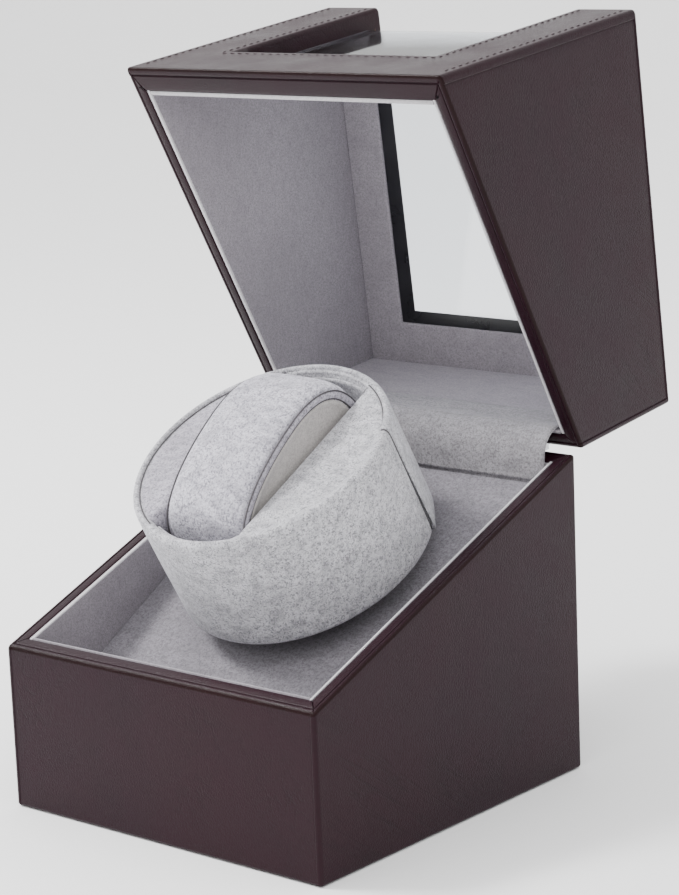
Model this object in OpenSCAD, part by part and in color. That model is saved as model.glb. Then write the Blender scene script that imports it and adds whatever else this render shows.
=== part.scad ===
// Watch winder box: a wedge-cut base, a windowed lid hinged at the back and a tilted, turning cup.
// Millimetres. The origin is the centre of the bottom face, +Z is up and -Y is the front.
// The lid is drawn shut and then turned back to its open stop, which is its rest position.

/* [Box] */
// Width across the two sides
box_w = 130; // [128:1:150]
// Depth from front to back
box_d = 132; // [130:1:150]
// Height of the base at its front wall
front_h = 54; // [52:1:58]
// Height of the base at its back wall
back_h = 106; // [104:1:110]
// Height of the whole box when it is shut
closed_h = 158; // [156:1:170]

/* [Walls] */
// Thickness of the leather skin
leather_t = 1; // [0.8:0.1:1.2]
// Thickness of the wooden boards
board_t = 4.2; // [4:0.1:4.6]
// Thickness of the suede-covered lining cards
liner_t = 1.3; // [1:0.1:1.5]
// Thickness of the felt under the base
felt_t = 1; // [0.8:0.1:1.5]

/* [Lid and window] */
// Angle from shut to the open stop
lid_open = 83; // [75:1:88]
// Gap between the two rims when the lid is shut
rim_gap = 0.4; // [0.3:0.1:0.8]
// Width of the window between its leather edges
window_w = 84; // [76:1:90]
// Leather below the window, on the lid's front
front_bar = 28; // [22:1:34]
// Leather behind the window, on the lid's top
back_bar = 22; // [18:1:30]
// Thickness of the bent acrylic pane
pane_t = 2; // [1.5:0.1:2.2]
// Width of the black border along the window's sides
border_side_w = 6; // [4:0.5:8]
// Width of the black border across the window's two ends
border_end_w = 4.5; // [3:0.5:6]

/* [Deck and cup] */
// Slope of the deck, and so the tilt of the cup's axis
deck_slope = 30; // [28:1:31]
// Height of the deck where it meets the front board
deck_front_h = 26.8; // [25:0.1:28]
// Distance behind the box's centre at which the cup's axis leaves the deck
axis_y = 13; // [10:1:15]
// Outer radius of the cup
cup_r = 43.8; // [42:0.1:44]
// Height of the cup from its underside to its rim
cup_h = 42.8; // [41:0.1:43.5]
// Gap between the deck and the cup's underside
cup_gap = 9.4; // [9:0.1:10]
// Angle at which the cup stands, from slot up and down the slope
cup_turn = -2; // [-180:1:180]
// Width of the slot between the two pads
slot_w = 35.2; // [30:0.2:40]
// Height of the pillow's crown above the cup's rim
pillow_crown = 14.8; // [10:0.1:15.5]
// Length of the pillow along the slot
pillow_l = 67; // [60:1:69]
// Thickness of the pillow's padded band
pillow_t = 5; // [4:0.5:6]

/* [Drive] */
// Gear module
gear_m = 0.8; // [0.7:0.05:0.8]
// Teeth of the output gear
output_z = 48; // [48]
// Teeth of the idler's large gear
idler_z = 36; // [36]
// Teeth of the idler's small gear and of the motor's pinion
pinion_z = 12; // [12]
// Running clearance between a shaft and its hole, at the radius
run_gap = 0.05; // [0.02:0.01:0.08]

/* [Hinges] */
// Distance of the hinge pins behind the back face
pin_back = 2.2; // [2.2:0.1:2.6]
// Distance of the hinge pins below the base's back rim
pin_below = 1.7; // [1.5:0.1:2]
// Distance of each hinge's middle from the box's middle
hinge_x = 38; // [30:1:42]
// Width of a hinge
hinge_w = 24; // [20:1:26]

/* [Power and controls] */
// Height of the middle of the rear controls and of the battery tray
rear_z = 29; // [28:1:32]
// Position of the middle of the control plate
plate_x = 34; // [33:1:36]
// Position of the middle of the battery tray
tray_x = -22; // [-24:1:-22]
// Diameter of an AA cell
cell_d = 14.5; // [14.5]
// Length of an AA cell with its contact springs
cell_l = 55; // [54:1:56]

/* [Hidden] */
$fn = 64;
past = 1;          // how far a cutting shape runs past the face that it cuts
far = 200;         // a length beyond any part of the box

leather_color = [0.20, 0.11, 0.12];
board_color = [0.62, 0.50, 0.36];
suede_color = [0.66, 0.65, 0.67];
cup_color = [0.74, 0.74, 0.75];
steel_color = [0.72, 0.72, 0.74];
brass_color = [0.75, 0.62, 0.32];
black_color = [0.06, 0.06, 0.07];
gear_color = [0.88, 0.87, 0.82];

// Faces of the walls, from outside to inside: skin, board, lining
skin_x = box_w / 2;
board_x = skin_x - leather_t;
inner_x = board_x - board_t;
liner_x = inner_x - liner_t;
skin_y = box_d / 2;
board_y = skin_y - leather_t;
inner_y = board_y - board_t;
liner_y = inner_y - liner_t;
board_top = closed_h - leather_t;
inner_top = board_top - board_t;
liner_top = inner_top - liner_t;
liner_drop = 0.2;    // how far a lining card's edge stays below the leather rim
board_drop = leather_t + 0.02; // boards end just under the skin that is folded over them
leather_foot = 0.4;  // height at which the leather ends above the ground
felt_inset = 1.5;

// Slanted plane where base and lid part; drop is measured square to it
rim_angle = atan((back_h - front_h) / box_d);
function rim_z(y, drop = 0) = front_h + (y + skin_y) * tan(rim_angle) - drop / cos(rim_angle);
function lid_rim_z(y, rise = 0) = rim_z(y, -rim_gap - rise);

// Sloping deck; drop is measured square to it
suede_t = 0.8;
deck_t = 3;
deck_under = suede_t + deck_t;
deck_fit = 0.1;
function deck_z(y, drop = 0) =
    deck_front_h + (y + inner_y) * tan(deck_slope) - drop / cos(deck_slope);

// Window: leather edge, board edge behind the turned-in leather, and the rebate that takes the pane
window_x = window_w / 2;
window_z = front_h + front_bar;
window_y = skin_y - back_bar;
lip_t = board_t - pane_t;
rebate = 5;
border_t = 0.4;
liner_window_x = window_x + leather_t;
liner_window_z = window_z - leather_t;
liner_window_y = window_y + leather_t;

// Cup, in the frame of its own axis: z = 0 is the deck's surface
cup_under = cup_gap;
rim_top = cup_gap + cup_h;
cover_t = 1.1;
lining_t = 0.8;
shell_t = 2;
shell_r = cup_r - cover_t;
bowl_r = shell_r - shell_t - lining_t;
turn_in = 0.6;       // cover folded under the cup's bottom edge
floor_z = cup_under + turn_in + shell_t;
pad_fit = 0.1;
pad_drop = 1;        // both pads sit this far below the rim
cover_bottom_r = 30;
pillow_fit = 0.2;
pillow_power = 2.3;  // exponent of the pillow's rounded-square outline
pillow_gap = 26;     // half the angle of the pillow's open underside
pillow_shift = -0.7;
pillow_steps = 60;

// Drive, in the same frame, below the deck
cover_plate_t = 2.5;
case_floor_t = 2;
case_wall = 2;
case_inside_h = 17;
cover_low = -deck_under - cover_plate_t;
case_low = cover_low - case_inside_h - case_floor_t;
case_box = [[-42, 23], [-27, 23]];
post_inset = 3;
post_r = 3;
idler_at = [-gear_m * (output_z + pinion_z) / 2, 0];
motor_at = idler_at + [0, -gear_m * (idler_z + pinion_z) / 2];
shaft_r = 3;
axle_r = 1.5;
bush_r = 5;
nose_r = 8;
output_gear_z = [cover_low - 6.2, cover_low - 1.2];
idler_gear_z = [cover_low - 11.4, cover_low - 7.4];
motor_gear_z = [cover_low - 11.9, cover_low - 6.9];
bush_top = 1;
bush_flange = 1;
hub_low = bush_top + bush_flange + 0.1;
hub_disc_t = 3;
hub_disc_r = 18;
hub_screw_r = 12;
gearhead_h = 9;
can_h = 15;
can_r = 6;
can_flat = 5;

// Rear controls and battery tray
flange_t = 1.2;
rear_face = skin_y + flange_t;
plate_half = [20, 13];
collar_half = [18, 11];
collar_t = 1.6;
collar_in = 59;
socket_x = plate_x - 10;
knob_x = plate_x + 5;
led_at = [plate_x + 15, rear_z + 6];
pcb_y = 50.4;
pcb_t = 1.6;
pcb_front = pcb_y + pcb_t;
knob_r = 6.5;
tray_wall = 1.5;
tray_ledge = 1.2;
tray_depth = 15.5;
bay_half = [cell_l / 2, cell_d + 0.5];
recess_half = bay_half + [tray_ledge, tray_ledge];
tray_half = recess_half + [tray_wall, tray_wall];
tray_flange_half = tray_half + [2, 2];
door_t = 1.8;
door_fit = 0.2;
door_out = rear_face - 0.1;
door_axis = [door_out - door_t / 2, rear_z - recess_half[1] + door_fit + door_t / 2];

// Hinges
pin_y = skin_y + pin_back;
pin_z = back_h - pin_below;
leaf_t = 0.9;
leaf_h = 16;
barrel_r = 2;
pin_r = 0.8;
knuckle_gap = 0.2;
knuckle_w = hinge_w / 3;
leaf_clear = 0.4;
stop_gap = 0.03;     // between the open lid leaf and the stop ear
stop_l = 5;
stop_in = 0.4;       // how far the stop ear reaches past the pin's middle
ear_inset = 0.5;     // step from a knuckle's end to its ear
screw_r = 1.1;
screw_head_r = 2.1;
screw_head_t = 0.9;
screw_l = 5;
screw_in = 7;
base_screw_z = pin_z - 10.5;
lid_screw_z = pin_z + 10;

// ---------------------------------------------------------------- shared shapes

// A prism across the box: points are [y, z], from x0 to x1
module prism(points, x0, x1) {
    translate([x0, 0, 0])
        rotate([90, 0, 90])
            linear_extrude(x1 - x0)
                polygon(points);
}

// A block given by its ranges along the three axes
module block(x, y, z) {
    translate([x[0], y[0], z[0]])
        cube([x[1] - x[0], y[1] - y[0], z[1] - z[0]]);
}

// A round bar along Z
module bar(r, z0, z1, at = [0, 0]) {
    translate([at[0], at[1], z0])
        cylinder(r = r, h = z1 - z0);
}

// A round bar along Y, placed by its [x, z]
module rear_bar(r, y0, y1, at) {
    translate([at[0], y0, at[1]])
        rotate([-90, 0, 0])
            cylinder(r = r, h = y1 - y0);
}

// A round bar along X, placed by its [y, z]
module cross_bar(r, x0, x1, at) {
    translate([x0, at[0], at[1]])
        rotate([0, 90, 0])
            cylinder(r = r, h = x1 - x0);
}

module both_sides() {
    children();
    mirror([1, 0, 0])
        children();
}

// The lid's own frame: children are drawn shut and turned back about the hinge pins
module in_lid() {
    translate([0, pin_y, pin_z])
        rotate([-lid_open, 0, 0])
            translate([0, -pin_y, -pin_z])
                children();
}

// The frame of the cup's axis: z runs out of the deck and y up the slope
module on_deck() {
    translate([0, axis_y, deck_z(axis_y)])
        rotate([deck_slope, 0, 0])
            children();
}

module in_cup() {
    on_deck()
        rotate([0, 0, cup_turn])
            children();
}

// Outline of a base wall between two depths, cut by the rim plane
function base_wall(y0, y1, z0, drop) =
    [[y0, z0], [y1, z0], [y1, rim_z(y1, drop)], [y0, rim_z(y0, drop)]];

// Outline of a lid wall between two depths, from the rim plane up to z1
function lid_wall(y0, y1, z1, rise) =
    [[y0, lid_rim_z(y0, rise)], [y1, lid_rim_z(y1, rise)], [y1, z1], [y0, z1]];

// ---------------------------------------------------------------- gears

// Half of a tooth's angle at radius r, for an involute with a 20 degree pressure angle
pressure = 20;
backlash = 0.12;
function involute(a) = tan(a) * 180 / PI - a;
function half_tooth(z, r) =
    let (pitch = gear_m * z / 2, base = pitch * cos(pressure))
    90 / z + involute(pressure) - involute(r > base ? acos(base / r) : 0)
        - backlash / 2 / pitch * 180 / PI;

// Radii at which a tooth's flank is drawn, from root to tip
function flank_radii(z) =
    let (pitch = gear_m * z / 2, base = pitch * cos(pressure))
    let (root = pitch - 1.05 * gear_m, tip = pitch + 0.8 * gear_m, foot = max(base, root + 0.1))
    [root, foot, (foot + pitch) / 2, pitch, (pitch + tip) / 2, tip];

function on_circle(r, a) = [r * cos(a), r * sin(a)];
function gear_outline(z) =
    let (radii = flank_radii(z), last = len(radii) - 1)
    [for (i = [0:z - 1]) each concat(
        [for (k = [0:last]) on_circle(radii[k], i * 360 / z - half_tooth(z, radii[k]))],
        [for (k = [last:-1:0]) on_circle(radii[k], i * 360 / z + half_tooth(z, radii[k]))]
    )];

module gear(z, z0, z1, bore) {
    difference() {
        translate([0, 0, z0])
            linear_extrude(z1 - z0)
                polygon(gear_outline(z));
        bar(bore, z0 - past, z1 + past);
    }
}

// ---------------------------------------------------------------- swept wires

wire_r = 0.6;
wire_sides = 8;
function unit(v) = v / norm(v);
function direction(p, i) = unit(p[min(i + 1, len(p) - 1)] - p[max(i - 1, 0)]);
function ring(p, i, r) =
    let (d = direction(p, i), side = unit(cross(d, [0.31, 0.17, 0.93])), up = cross(side, d))
    [for (k = [0:wire_sides - 1])
        p[i] + r * (cos(k * 360 / wire_sides) * side + sin(k * 360 / wire_sides) * up)];

// A tube of radius r along the points p
module tube(p, r) {
    n = len(p);
    s = wire_sides;
    points = [for (i = [0:n - 1]) each ring(p, i, r)];
    walls = [for (i = [0:n - 2], k = [0:s - 1])
        [i * s + k, i * s + (k + 1) % s, (i + 1) * s + (k + 1) % s, (i + 1) * s + k]];
    ends = [[for (k = [s - 1:-1:0]) k], [for (k = [0:s - 1]) (n - 1) * s + k]];
    polyhedron(points, concat(walls, ends));
}

// A smooth path through hand-placed points
smooth_steps = 5;
function blend(a, b, c, d, t) =
    0.5 * (2 * b + (c - a) * t + (2 * a - 5 * b + 4 * c - d) * t * t
        + (3 * b - a - 3 * c + d) * t * t * t);
function smooth(p) =
    let (n = len(p))
    concat([for (i = [0:n - 2], s = [0:smooth_steps - 1])
        blend(p[max(i - 1, 0)], p[i], p[i + 1], p[min(i + 2, n - 1)], s / smooth_steps)], [p[n - 1]]);

// ---------------------------------------------------------------- holes in the back wall

module plate_hole() {
    block([plate_x - collar_half[0], plate_x + collar_half[0]], [inner_y - past, skin_y + past],
        [rear_z - collar_half[1], rear_z + collar_half[1]]);
}

module tray_hole() {
    block([tray_x - tray_half[0], tray_x + tray_half[0]], [inner_y - past, skin_y + past],
        [rear_z - tray_half[1], rear_z + tray_half[1]]);
}

// Shanks of a leaf's two screws at each hinge, at height z
module hinge_shanks(z) {
    both_sides()
        for (dx = [-screw_in, screw_in])
            rear_bar(screw_r, skin_y - screw_l, skin_y + leaf_t, [hinge_x + dx, z]);
}

// ---------------------------------------------------------------- base

module base_front_board() {
    color(board_color)
        prism(base_wall(-board_y, -inner_y, felt_t, board_drop), -inner_x, inner_x);
}

module base_back_board() {
    color(board_color)
        difference() {
            prism(base_wall(inner_y, board_y, felt_t, board_drop), -inner_x, inner_x);
            plate_hole();
            tray_hole();
            hinge_shanks(base_screw_z);
        }
}

module base_side_boards() {
    color(board_color)
        both_sides()
            prism(base_wall(-board_y, board_y, felt_t, board_drop), inner_x, board_x);
}

module base_bottom_board() {
    color(board_color)
        block([-inner_x, inner_x], [-inner_y, inner_y], [felt_t, felt_t + board_t]);
}

// One wrapped skin: four sides, with its top edge folded over the boards
module base_leather() {
    color(leather_color)
        difference() {
            prism(base_wall(-skin_y, skin_y, leather_foot, 0), -skin_x, skin_x);
            prism(base_wall(-board_y, board_y, -past, leather_t), -board_x, board_x);
            block([-inner_x, inner_x], [-inner_y, inner_y], [-past, far]);
            plate_hole();
            tray_hole();
            hinge_shanks(base_screw_z);
        }
}

module bottom_felt() {
    color(black_color)
        block([-skin_x + felt_inset, skin_x - felt_inset], [-skin_y + felt_inset, skin_y - felt_inset],
            [0, felt_t]);
}

module base_front_liner() {
    color(suede_color)
        prism(base_wall(-inner_y, -liner_y, deck_z(-liner_y) + deck_fit, liner_drop), -liner_x, liner_x);
}

module base_back_liner() {
    color(suede_color)
        prism(base_wall(liner_y, inner_y, deck_z(inner_y) + deck_fit, liner_drop), -liner_x, liner_x);
}

module base_side_liners() {
    outline = [
        [-inner_y, deck_z(-inner_y) + deck_fit], [inner_y, deck_z(inner_y) + deck_fit],
        [inner_y, rim_z(inner_y, liner_drop)], [-inner_y, rim_z(-inner_y, liner_drop)]
    ];
    color(suede_color)
        both_sides()
            prism(outline, liner_x, inner_x);
}

// A layer of the deck between two depths below its surface
module deck_layer(top, low) {
    outline = [
        [-inner_y, deck_z(-inner_y, top)], [inner_y, deck_z(inner_y, top)],
        [inner_y, deck_z(inner_y, low)], [-inner_y, deck_z(-inner_y, low)]
    ];
    difference() {
        prism(outline, -inner_x, inner_x);
        on_deck()
            bar(nose_r, -deck_under - past, past);
    }
}

module deck_board() {
    color(board_color)
        difference() {
            deck_layer(suede_t, deck_under);
            on_deck()
                gearbox_shanks();
        }
}

module deck_suede() {
    color(suede_color)
        deck_layer(0, suede_t);
}

// Two wooden strips glued to the side boards, which carry the deck
module deck_cleats() {
    cleat_w = 6;
    cleat_h = 8;
    end_y = inner_y - 4;
    outline = [
        [-end_y, deck_z(-end_y, deck_under)], [end_y, deck_z(end_y, deck_under)],
        [end_y, deck_z(end_y, deck_under) - cleat_h], [-end_y, deck_z(-end_y, deck_under) - cleat_h]
    ];
    color(board_color)
        both_sides()
            prism(outline, inner_x - cleat_w, inner_x);
}

// ---------------------------------------------------------------- drive

// The gearbox's four fixing points, [x, y]
module at_posts() {
    for (x = [case_box[0][0] + post_inset, case_box[0][1] - post_inset],
         y = [case_box[1][0] + post_inset, case_box[1][1] - post_inset])
        translate([x, y, 0])
            children();
}

gearbox_screw_r = 1.25;
gearbox_screw_top = -deck_under + 2;
module gearbox_shanks(r = gearbox_screw_r, low = case_low) {
    at_posts()
        bar(r, low, gearbox_screw_top);
}

module case_outline(inset, z) {
    block(case_box[0] + [inset, -inset], case_box[1] + [inset, -inset], z);
}

module gearbox_case() {
    floor_top = case_low + case_floor_t;
    color(black_color)
        on_deck()
            difference() {
                union() {
                    difference() {
                        case_outline(0, [case_low, cover_low]);
                        case_outline(case_wall, [floor_top, cover_low + past]);
                    }
                    at_posts()
                        bar(post_r, case_low, cover_low);
                    bar(axle_r + 1.5, case_low, idler_gear_z[0] - 0.2, idler_at);
                }
                gearbox_shanks(gearbox_screw_r + run_gap, case_low - past);
                bar(bush_r, case_low - past, floor_top + past);
                bar(axle_r, floor_top - 0.5, cover_low, idler_at);
                bar(axle_r + 0.6, case_low - past, floor_top + past, motor_at);
            }
}

module gearbox_cover() {
    color(black_color)
        on_deck()
            difference() {
                union() {
                    case_outline(0, [cover_low, -deck_under]);
                    bar(nose_r, cover_low, 0);
                }
                bar(bush_r, cover_low - past, past);
                gearbox_shanks(gearbox_screw_r + run_gap, cover_low - past);
                bar(axle_r, cover_low - past, cover_low + 1.5, idler_at);
            }
}

module gearbox_screws() {
    color(steel_color)
        on_deck() {
            gearbox_shanks();
            at_posts()
                bar(2.4, case_low - 1.6, case_low);
        }
}

module motor_gearhead() {
    x = motor_at[0];
    y = motor_at[1];
    color(brass_color)
        on_deck()
            difference() {
                block([x - 5, x + 5], [y - 6, y + 6], [case_low - gearhead_h, case_low]);
                bar(axle_r + run_gap, case_low - gearhead_h + 1, case_low + past, motor_at);
            }
}

module motor_can() {
    can_top = case_low - gearhead_h;
    color(steel_color)
        on_deck()
            translate([motor_at[0], motor_at[1], can_top - can_h]) {
                intersection() {
                    cylinder(r = can_r, h = can_h);
                    block([-can_flat, can_flat], [-can_r, can_r], [0, can_h]);
                }
                for (y = [-3.5, 3.5])
                    block([-1, 1], [y - 0.2, y + 0.2], [-2, 0]);
            }
}

module motor_shaft() {
    color(steel_color)
        on_deck()
            bar(axle_r, case_low - gearhead_h + 1.2, motor_gear_z[1] + 0.3, motor_at);
}

module motor_pinion() {
    color(gear_color)
        on_deck()
            translate([motor_at[0], motor_at[1], 0])
                rotate([0, 0, 180 / pinion_z])
                    gear(pinion_z, motor_gear_z[0], motor_gear_z[1], axle_r);
}

// Large gear driven by the motor's pinion, with the small gear that drives the output gear
module idler_gear() {
    color(gear_color)
        on_deck()
            translate([idler_at[0], idler_at[1], 0]) {
                gear(idler_z, idler_gear_z[0], idler_gear_z[1], axle_r + run_gap);
                rotate([0, 0, 180 / pinion_z])
                    gear(pinion_z, idler_gear_z[1], output_gear_z[1], axle_r + run_gap);
            }
}

module idler_axle() {
    color(steel_color)
        on_deck()
            bar(axle_r, case_low + case_floor_t - 0.5, cover_low + 1.5, idler_at);
}

module output_gear() {
    hub_r = 6;
    hub_h = 3;
    color(gear_color)
        on_deck() {
            gear(output_z, output_gear_z[0], output_gear_z[1], shaft_r);
            difference() {
                bar(hub_r, output_gear_z[0] - hub_h, output_gear_z[0]);
                bar(shaft_r, output_gear_z[0] - hub_h - past, output_gear_z[0] + past);
            }
        }
}

module output_shaft() {
    color(steel_color)
        on_deck()
            bar(shaft_r, case_low + 0.5, cup_under - 0.4);
}

// Two flanged brass bushes: one in the gearbox's nose, one in its floor
module shaft_bushes() {
    color(brass_color)
        on_deck()
            difference() {
                union() {
                    bar(bush_r, cover_low, bush_top);
                    bar(bush_r + 2, bush_top, bush_top + bush_flange);
                    bar(bush_r, case_low, case_low + case_floor_t);
                    bar(bush_r + 1.5, case_low + case_floor_t, case_low + case_floor_t + 1);
                }
                bar(shaft_r + run_gap, case_low - past, bush_top + bush_flange + past);
            }
}

module hub_shanks() {
    for (a = [90, 210, 330])
        bar(1.4, cup_under - hub_disc_t + 0.5, floor_z, hub_screw_r * [cos(a), sin(a)]);
}

module hub_heads() {
    for (a = [90, 210, 330])
        bar(2.6, floor_z - 1, floor_z, hub_screw_r * [cos(a), sin(a)]);
}

// Flanged plastic hub, pressed on the shaft and screwed to the cup's floor
module turntable_hub() {
    color(black_color)
        in_cup()
            difference() {
                union() {
                    bar(nose_r, hub_low, cup_under - hub_disc_t);
                    bar(hub_disc_r, cup_under - hub_disc_t, cup_under + turn_in);
                }
                bar(shaft_r, hub_low - past, cup_under - 0.4);
                hub_shanks();
            }
}

module hub_screws() {
    color(steel_color)
        in_cup() {
            hub_shanks();
            hub_heads();
        }
}

// ---------------------------------------------------------------- cup and pillow

// Round bowl of board: a wall and a floor
module cup_shell() {
    bottom = cup_under + turn_in;
    color(board_color)
        in_cup()
            difference() {
                bar(shell_r, bottom, rim_top - cover_t);
                bar(shell_r - shell_t, floor_z, rim_top);
                hub_shanks();
                hub_heads();
            }
}

// Suede glued round the bowl, over its rim, down its inside and under its bottom edge
module cup_cover() {
    bottom = cup_under + turn_in;
    inner = shell_r - shell_t;
    profile = [
        [cover_bottom_r, cup_under], [cup_r - 1.5, cup_under], [cup_r, cup_under + 1.5],
        [cup_r, rim_top - 1.2], [cup_r - 1.2, rim_top], [bowl_r + 1.2, rim_top],
        [bowl_r, rim_top - 1.2], [bowl_r, floor_z], [inner, floor_z],
        [inner, rim_top - cover_t], [shell_r, rim_top - cover_t], [shell_r, bottom],
        [cover_bottom_r, bottom]
    ];
    color(cup_color)
        in_cup()
            rotate_extrude()
                polygon(profile);
}

// A half-moon pad beside the slot, from the bowl's floor up to just below the rim
module pad() {
    top = rim_top - pad_drop;
    intersection() {
        bar(bowl_r - pad_fit, floor_z + pad_fit, top);
        block([slot_w / 2, cup_r], [-cup_r, cup_r], [floor_z, top + past]);
    }
}

module left_pad() {
    color(suede_color)
        in_cup()
            mirror([1, 0, 0])
                pad();
}

module right_pad() {
    color(cup_color)
        in_cup()
            pad();
}

function rounded(a, b, t) = [
    a * sign(cos(t)) * pow(abs(cos(t)), 2 / pillow_power),
    b * sign(sin(t)) * pow(abs(sin(t)), 2 / pillow_power)
];

// C-shaped sprung pillow that the watch's strap closes round; its open side faces the bowl's floor
module pillow() {
    low = floor_z + pillow_fit;
    half_h = (rim_top + pillow_crown - low) / 2;
    centre = [pillow_shift, low + half_h];
    half_l = pillow_l / 2;
    start = -90 + pillow_gap;
    step = (360 - 2 * pillow_gap) / pillow_steps;
    outer = [for (i = [0:pillow_steps]) centre + rounded(half_l, half_h, start + i * step)];
    inner = [for (i = [pillow_steps:-1:0])
        centre + rounded(half_l - pillow_t, half_h - pillow_t, start + i * step)];
    half_w = slot_w / 2 - pillow_fit;
    color(cup_color)
        in_cup()
            prism(concat(outer, inner), -half_w, half_w);
}

// ---------------------------------------------------------------- rear controls

module control_plate() {
    collar_x = [plate_x - collar_half[0], plate_x + collar_half[0]];
    collar_z = [rear_z - collar_half[1], rear_z + collar_half[1]];
    color(black_color)
        difference() {
            union() {
                block([plate_x - plate_half[0], plate_x + plate_half[0]], [skin_y, rear_face],
                    [rear_z - plate_half[1], rear_z + plate_half[1]]);
                block(collar_x, [collar_in, skin_y], collar_z);
            }
            block(collar_x + [collar_t, -collar_t], [collar_in - past, skin_y - 0.4],
                collar_z + [collar_t, -collar_t]);
            rear_bar(4.2, collar_in, rear_face + past, [socket_x, rear_z]);
            rear_bar(3.2, collar_in, rear_face + past, [knob_x, rear_z]);
            rear_bar(1.6, collar_in, rear_face + past, led_at);
        }
}

module circuit_board() {
    color([0.08, 0.30, 0.16])
        block([plate_x - 21, plate_x + 21], [pcb_y, pcb_front], [rear_z - 16, rear_z + 16]);
    color(black_color) {
        block([plate_x - 5, plate_x + 1], [pcb_y - 1.5, pcb_y], [rear_z - 8, rear_z - 3]);
        rear_bar(3, pcb_y - 8, pcb_y, [plate_x + 12, rear_z - 6]);
    }
}

// Round low-voltage inlet with a centre pin
module dc_socket() {
    mouth = 57.2;
    color(black_color)
        difference() {
            union() {
                block([socket_x - 4.5, socket_x + 4.5], [pcb_front, 63], [rear_z - 4.5, rear_z + 4.5]);
                rear_bar(4, 63, rear_face, [socket_x, rear_z]);
            }
            rear_bar(2.85, mouth, rear_face + past, [socket_x, rear_z]);
        }
    color(steel_color)
        rear_bar(1, mouth - past, rear_face - 1, [socket_x, rear_z]);
}

module mode_switch() {
    color(steel_color)
        difference() {
            union() {
                block([knob_x - 6, knob_x + 6], [pcb_front, 61], [rear_z - 6, rear_z + 6]);
                rear_bar(3, 61, rear_face + 0.6, [knob_x, rear_z]);
            }
            rear_bar(axle_r + run_gap, pcb_front + 2, far, [knob_x, rear_z]);
        }
}

module switch_shaft() {
    color(steel_color)
        rear_bar(axle_r, pcb_front + 2.2, rear_face + 7, [knob_x, rear_z]);
}

// Turning knob with a raised pointer on its face
module mode_knob() {
    knob_low = rear_face + 1;
    knob_face = rear_face + 9;
    color(black_color)
        difference() {
            union() {
                rear_bar(knob_r, knob_low, knob_face, [knob_x, rear_z]);
                block([knob_x - 0.8, knob_x + 0.8], [knob_face, knob_face + 0.6], [rear_z + 1, rear_z + 6]);
            }
            rear_bar(axle_r, knob_low - past, rear_face + 7, [knob_x, rear_z]);
        }
}

module status_led() {
    color([0.75, 0.95, 0.75])
        rear_bar(1.5, pcb_front, rear_face + 0.4, led_at);
}

// ---------------------------------------------------------------- battery tray and door

module tray_block(half, y) {
    block([tray_x - half[0], tray_x + half[0]], y, [rear_z - half[1], rear_z + half[1]]);
}

bay_back = door_out - door_t - 0.1 - tray_depth;
module battery_tray() {
    color(black_color)
        difference() {
            union() {
                tray_block(tray_half, [bay_back - tray_wall, skin_y]);
                tray_block(tray_flange_half, [skin_y, rear_face]);
            }
            tray_block(bay_half, [bay_back, far]);
            tray_block(recess_half, [door_out - door_t - 0.1, far]);
        }
}

// Flat plates at both ends of the bay, and a coil spring for each cell's flat end
module battery_contacts() {
    plate_half_x = bay_half[0];
    coil_turns = 4;
    coil_steps = 12;
    coil_l = 2.6;
    mid_y = bay_back + tray_depth / 2;
    cells = [[1, rear_z + cell_d / 2], [-1, rear_z - cell_d / 2]];
    color(steel_color)
        for (cell = cells) {
            for (side = [-1, 1]) {
                x = tray_x + side * plate_half_x;
                block([min(x, x - side * 0.4), max(x, x - side * 0.4)], [mid_y - 5, mid_y + 5],
                    [cell[1] - 6, cell[1] + 6]);
            }
            coil_x = tray_x + cell[0] * (plate_half_x - 0.4);
            coil = [for (i = [0:coil_turns * coil_steps])
                [coil_x - cell[0] * (0.3 + i * coil_l / coil_turns / coil_steps),
                 mid_y + (4.5 - 0.02 * i) * cos(i * 360 / coil_steps),
                 cell[1] + (4.5 - 0.02 * i) * sin(i * 360 / coil_steps)]];
            tube(coil, 0.3);
        }
}

// Door hooked in along its lower edge, which is rounded about the axis that it swings on
module battery_door() {
    x = [tray_x - recess_half[0] + door_fit, tray_x + recess_half[0] - door_fit];
    top = rear_z + recess_half[1] - door_fit;
    color(black_color)
        difference() {
            union() {
                cross_bar(door_t / 2, x[0], x[1], door_axis);
                block(x, [door_out - door_t, door_out], [door_axis[1], top]);
            }
            for (i = [0:2])
                block([tray_x - 8, tray_x + 8], [door_out - 0.5, door_out + past],
                    [top - 4 - 2 * i, top - 3 - 2 * i]);
        }
}

// Red and black pairs from the motor and from the battery tray to the circuit board
motor_lead = [
    [-24, 17, 11], [-22, 22, 8.5], [-16, 30, 7], [-6, 36, 6.5], [4, 40, 6.5], [12, 43, 8], [16, 45, 12],
    [18, 48, 16], [18, 50, 17]
];
battery_lead = [
    [9, 53, 22], [10, 52, 21.4], [11, 50, 20], [12, 48.5, 20], [14, 48, 20.5], [16, 48.5, 21], [17, 50, 21]
];
module internal_leads() {
    for (route = [motor_lead, battery_lead]) {
        color([0.6, 0.08, 0.06])
            tube(smooth(route), wire_r);
        color(black_color)
            tube(smooth([for (p = route) p + [1.4, 0, 1.4]]), wire_r);
    }
}

// ---------------------------------------------------------------- hinges

// Knuckle of a hinge, from x0 to x1, with its pin hole
module knuckle(x0, x1, hole) {
    difference() {
        union() {
            cross_bar(barrel_r, x0, x1, [pin_y, pin_z]);
            children();
        }
        cross_bar(hole, x0 - past, x1 + past, [pin_y, pin_z]);
    }
}

// Outer knuckles belong to the base leaf, the middle one to the lid leaf
hinge_x0 = hinge_x - hinge_w / 2;
hinge_x1 = hinge_x + hinge_w / 2;
middle_x0 = hinge_x0 + knuckle_w;
middle_x1 = hinge_x1 - knuckle_w;

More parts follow.
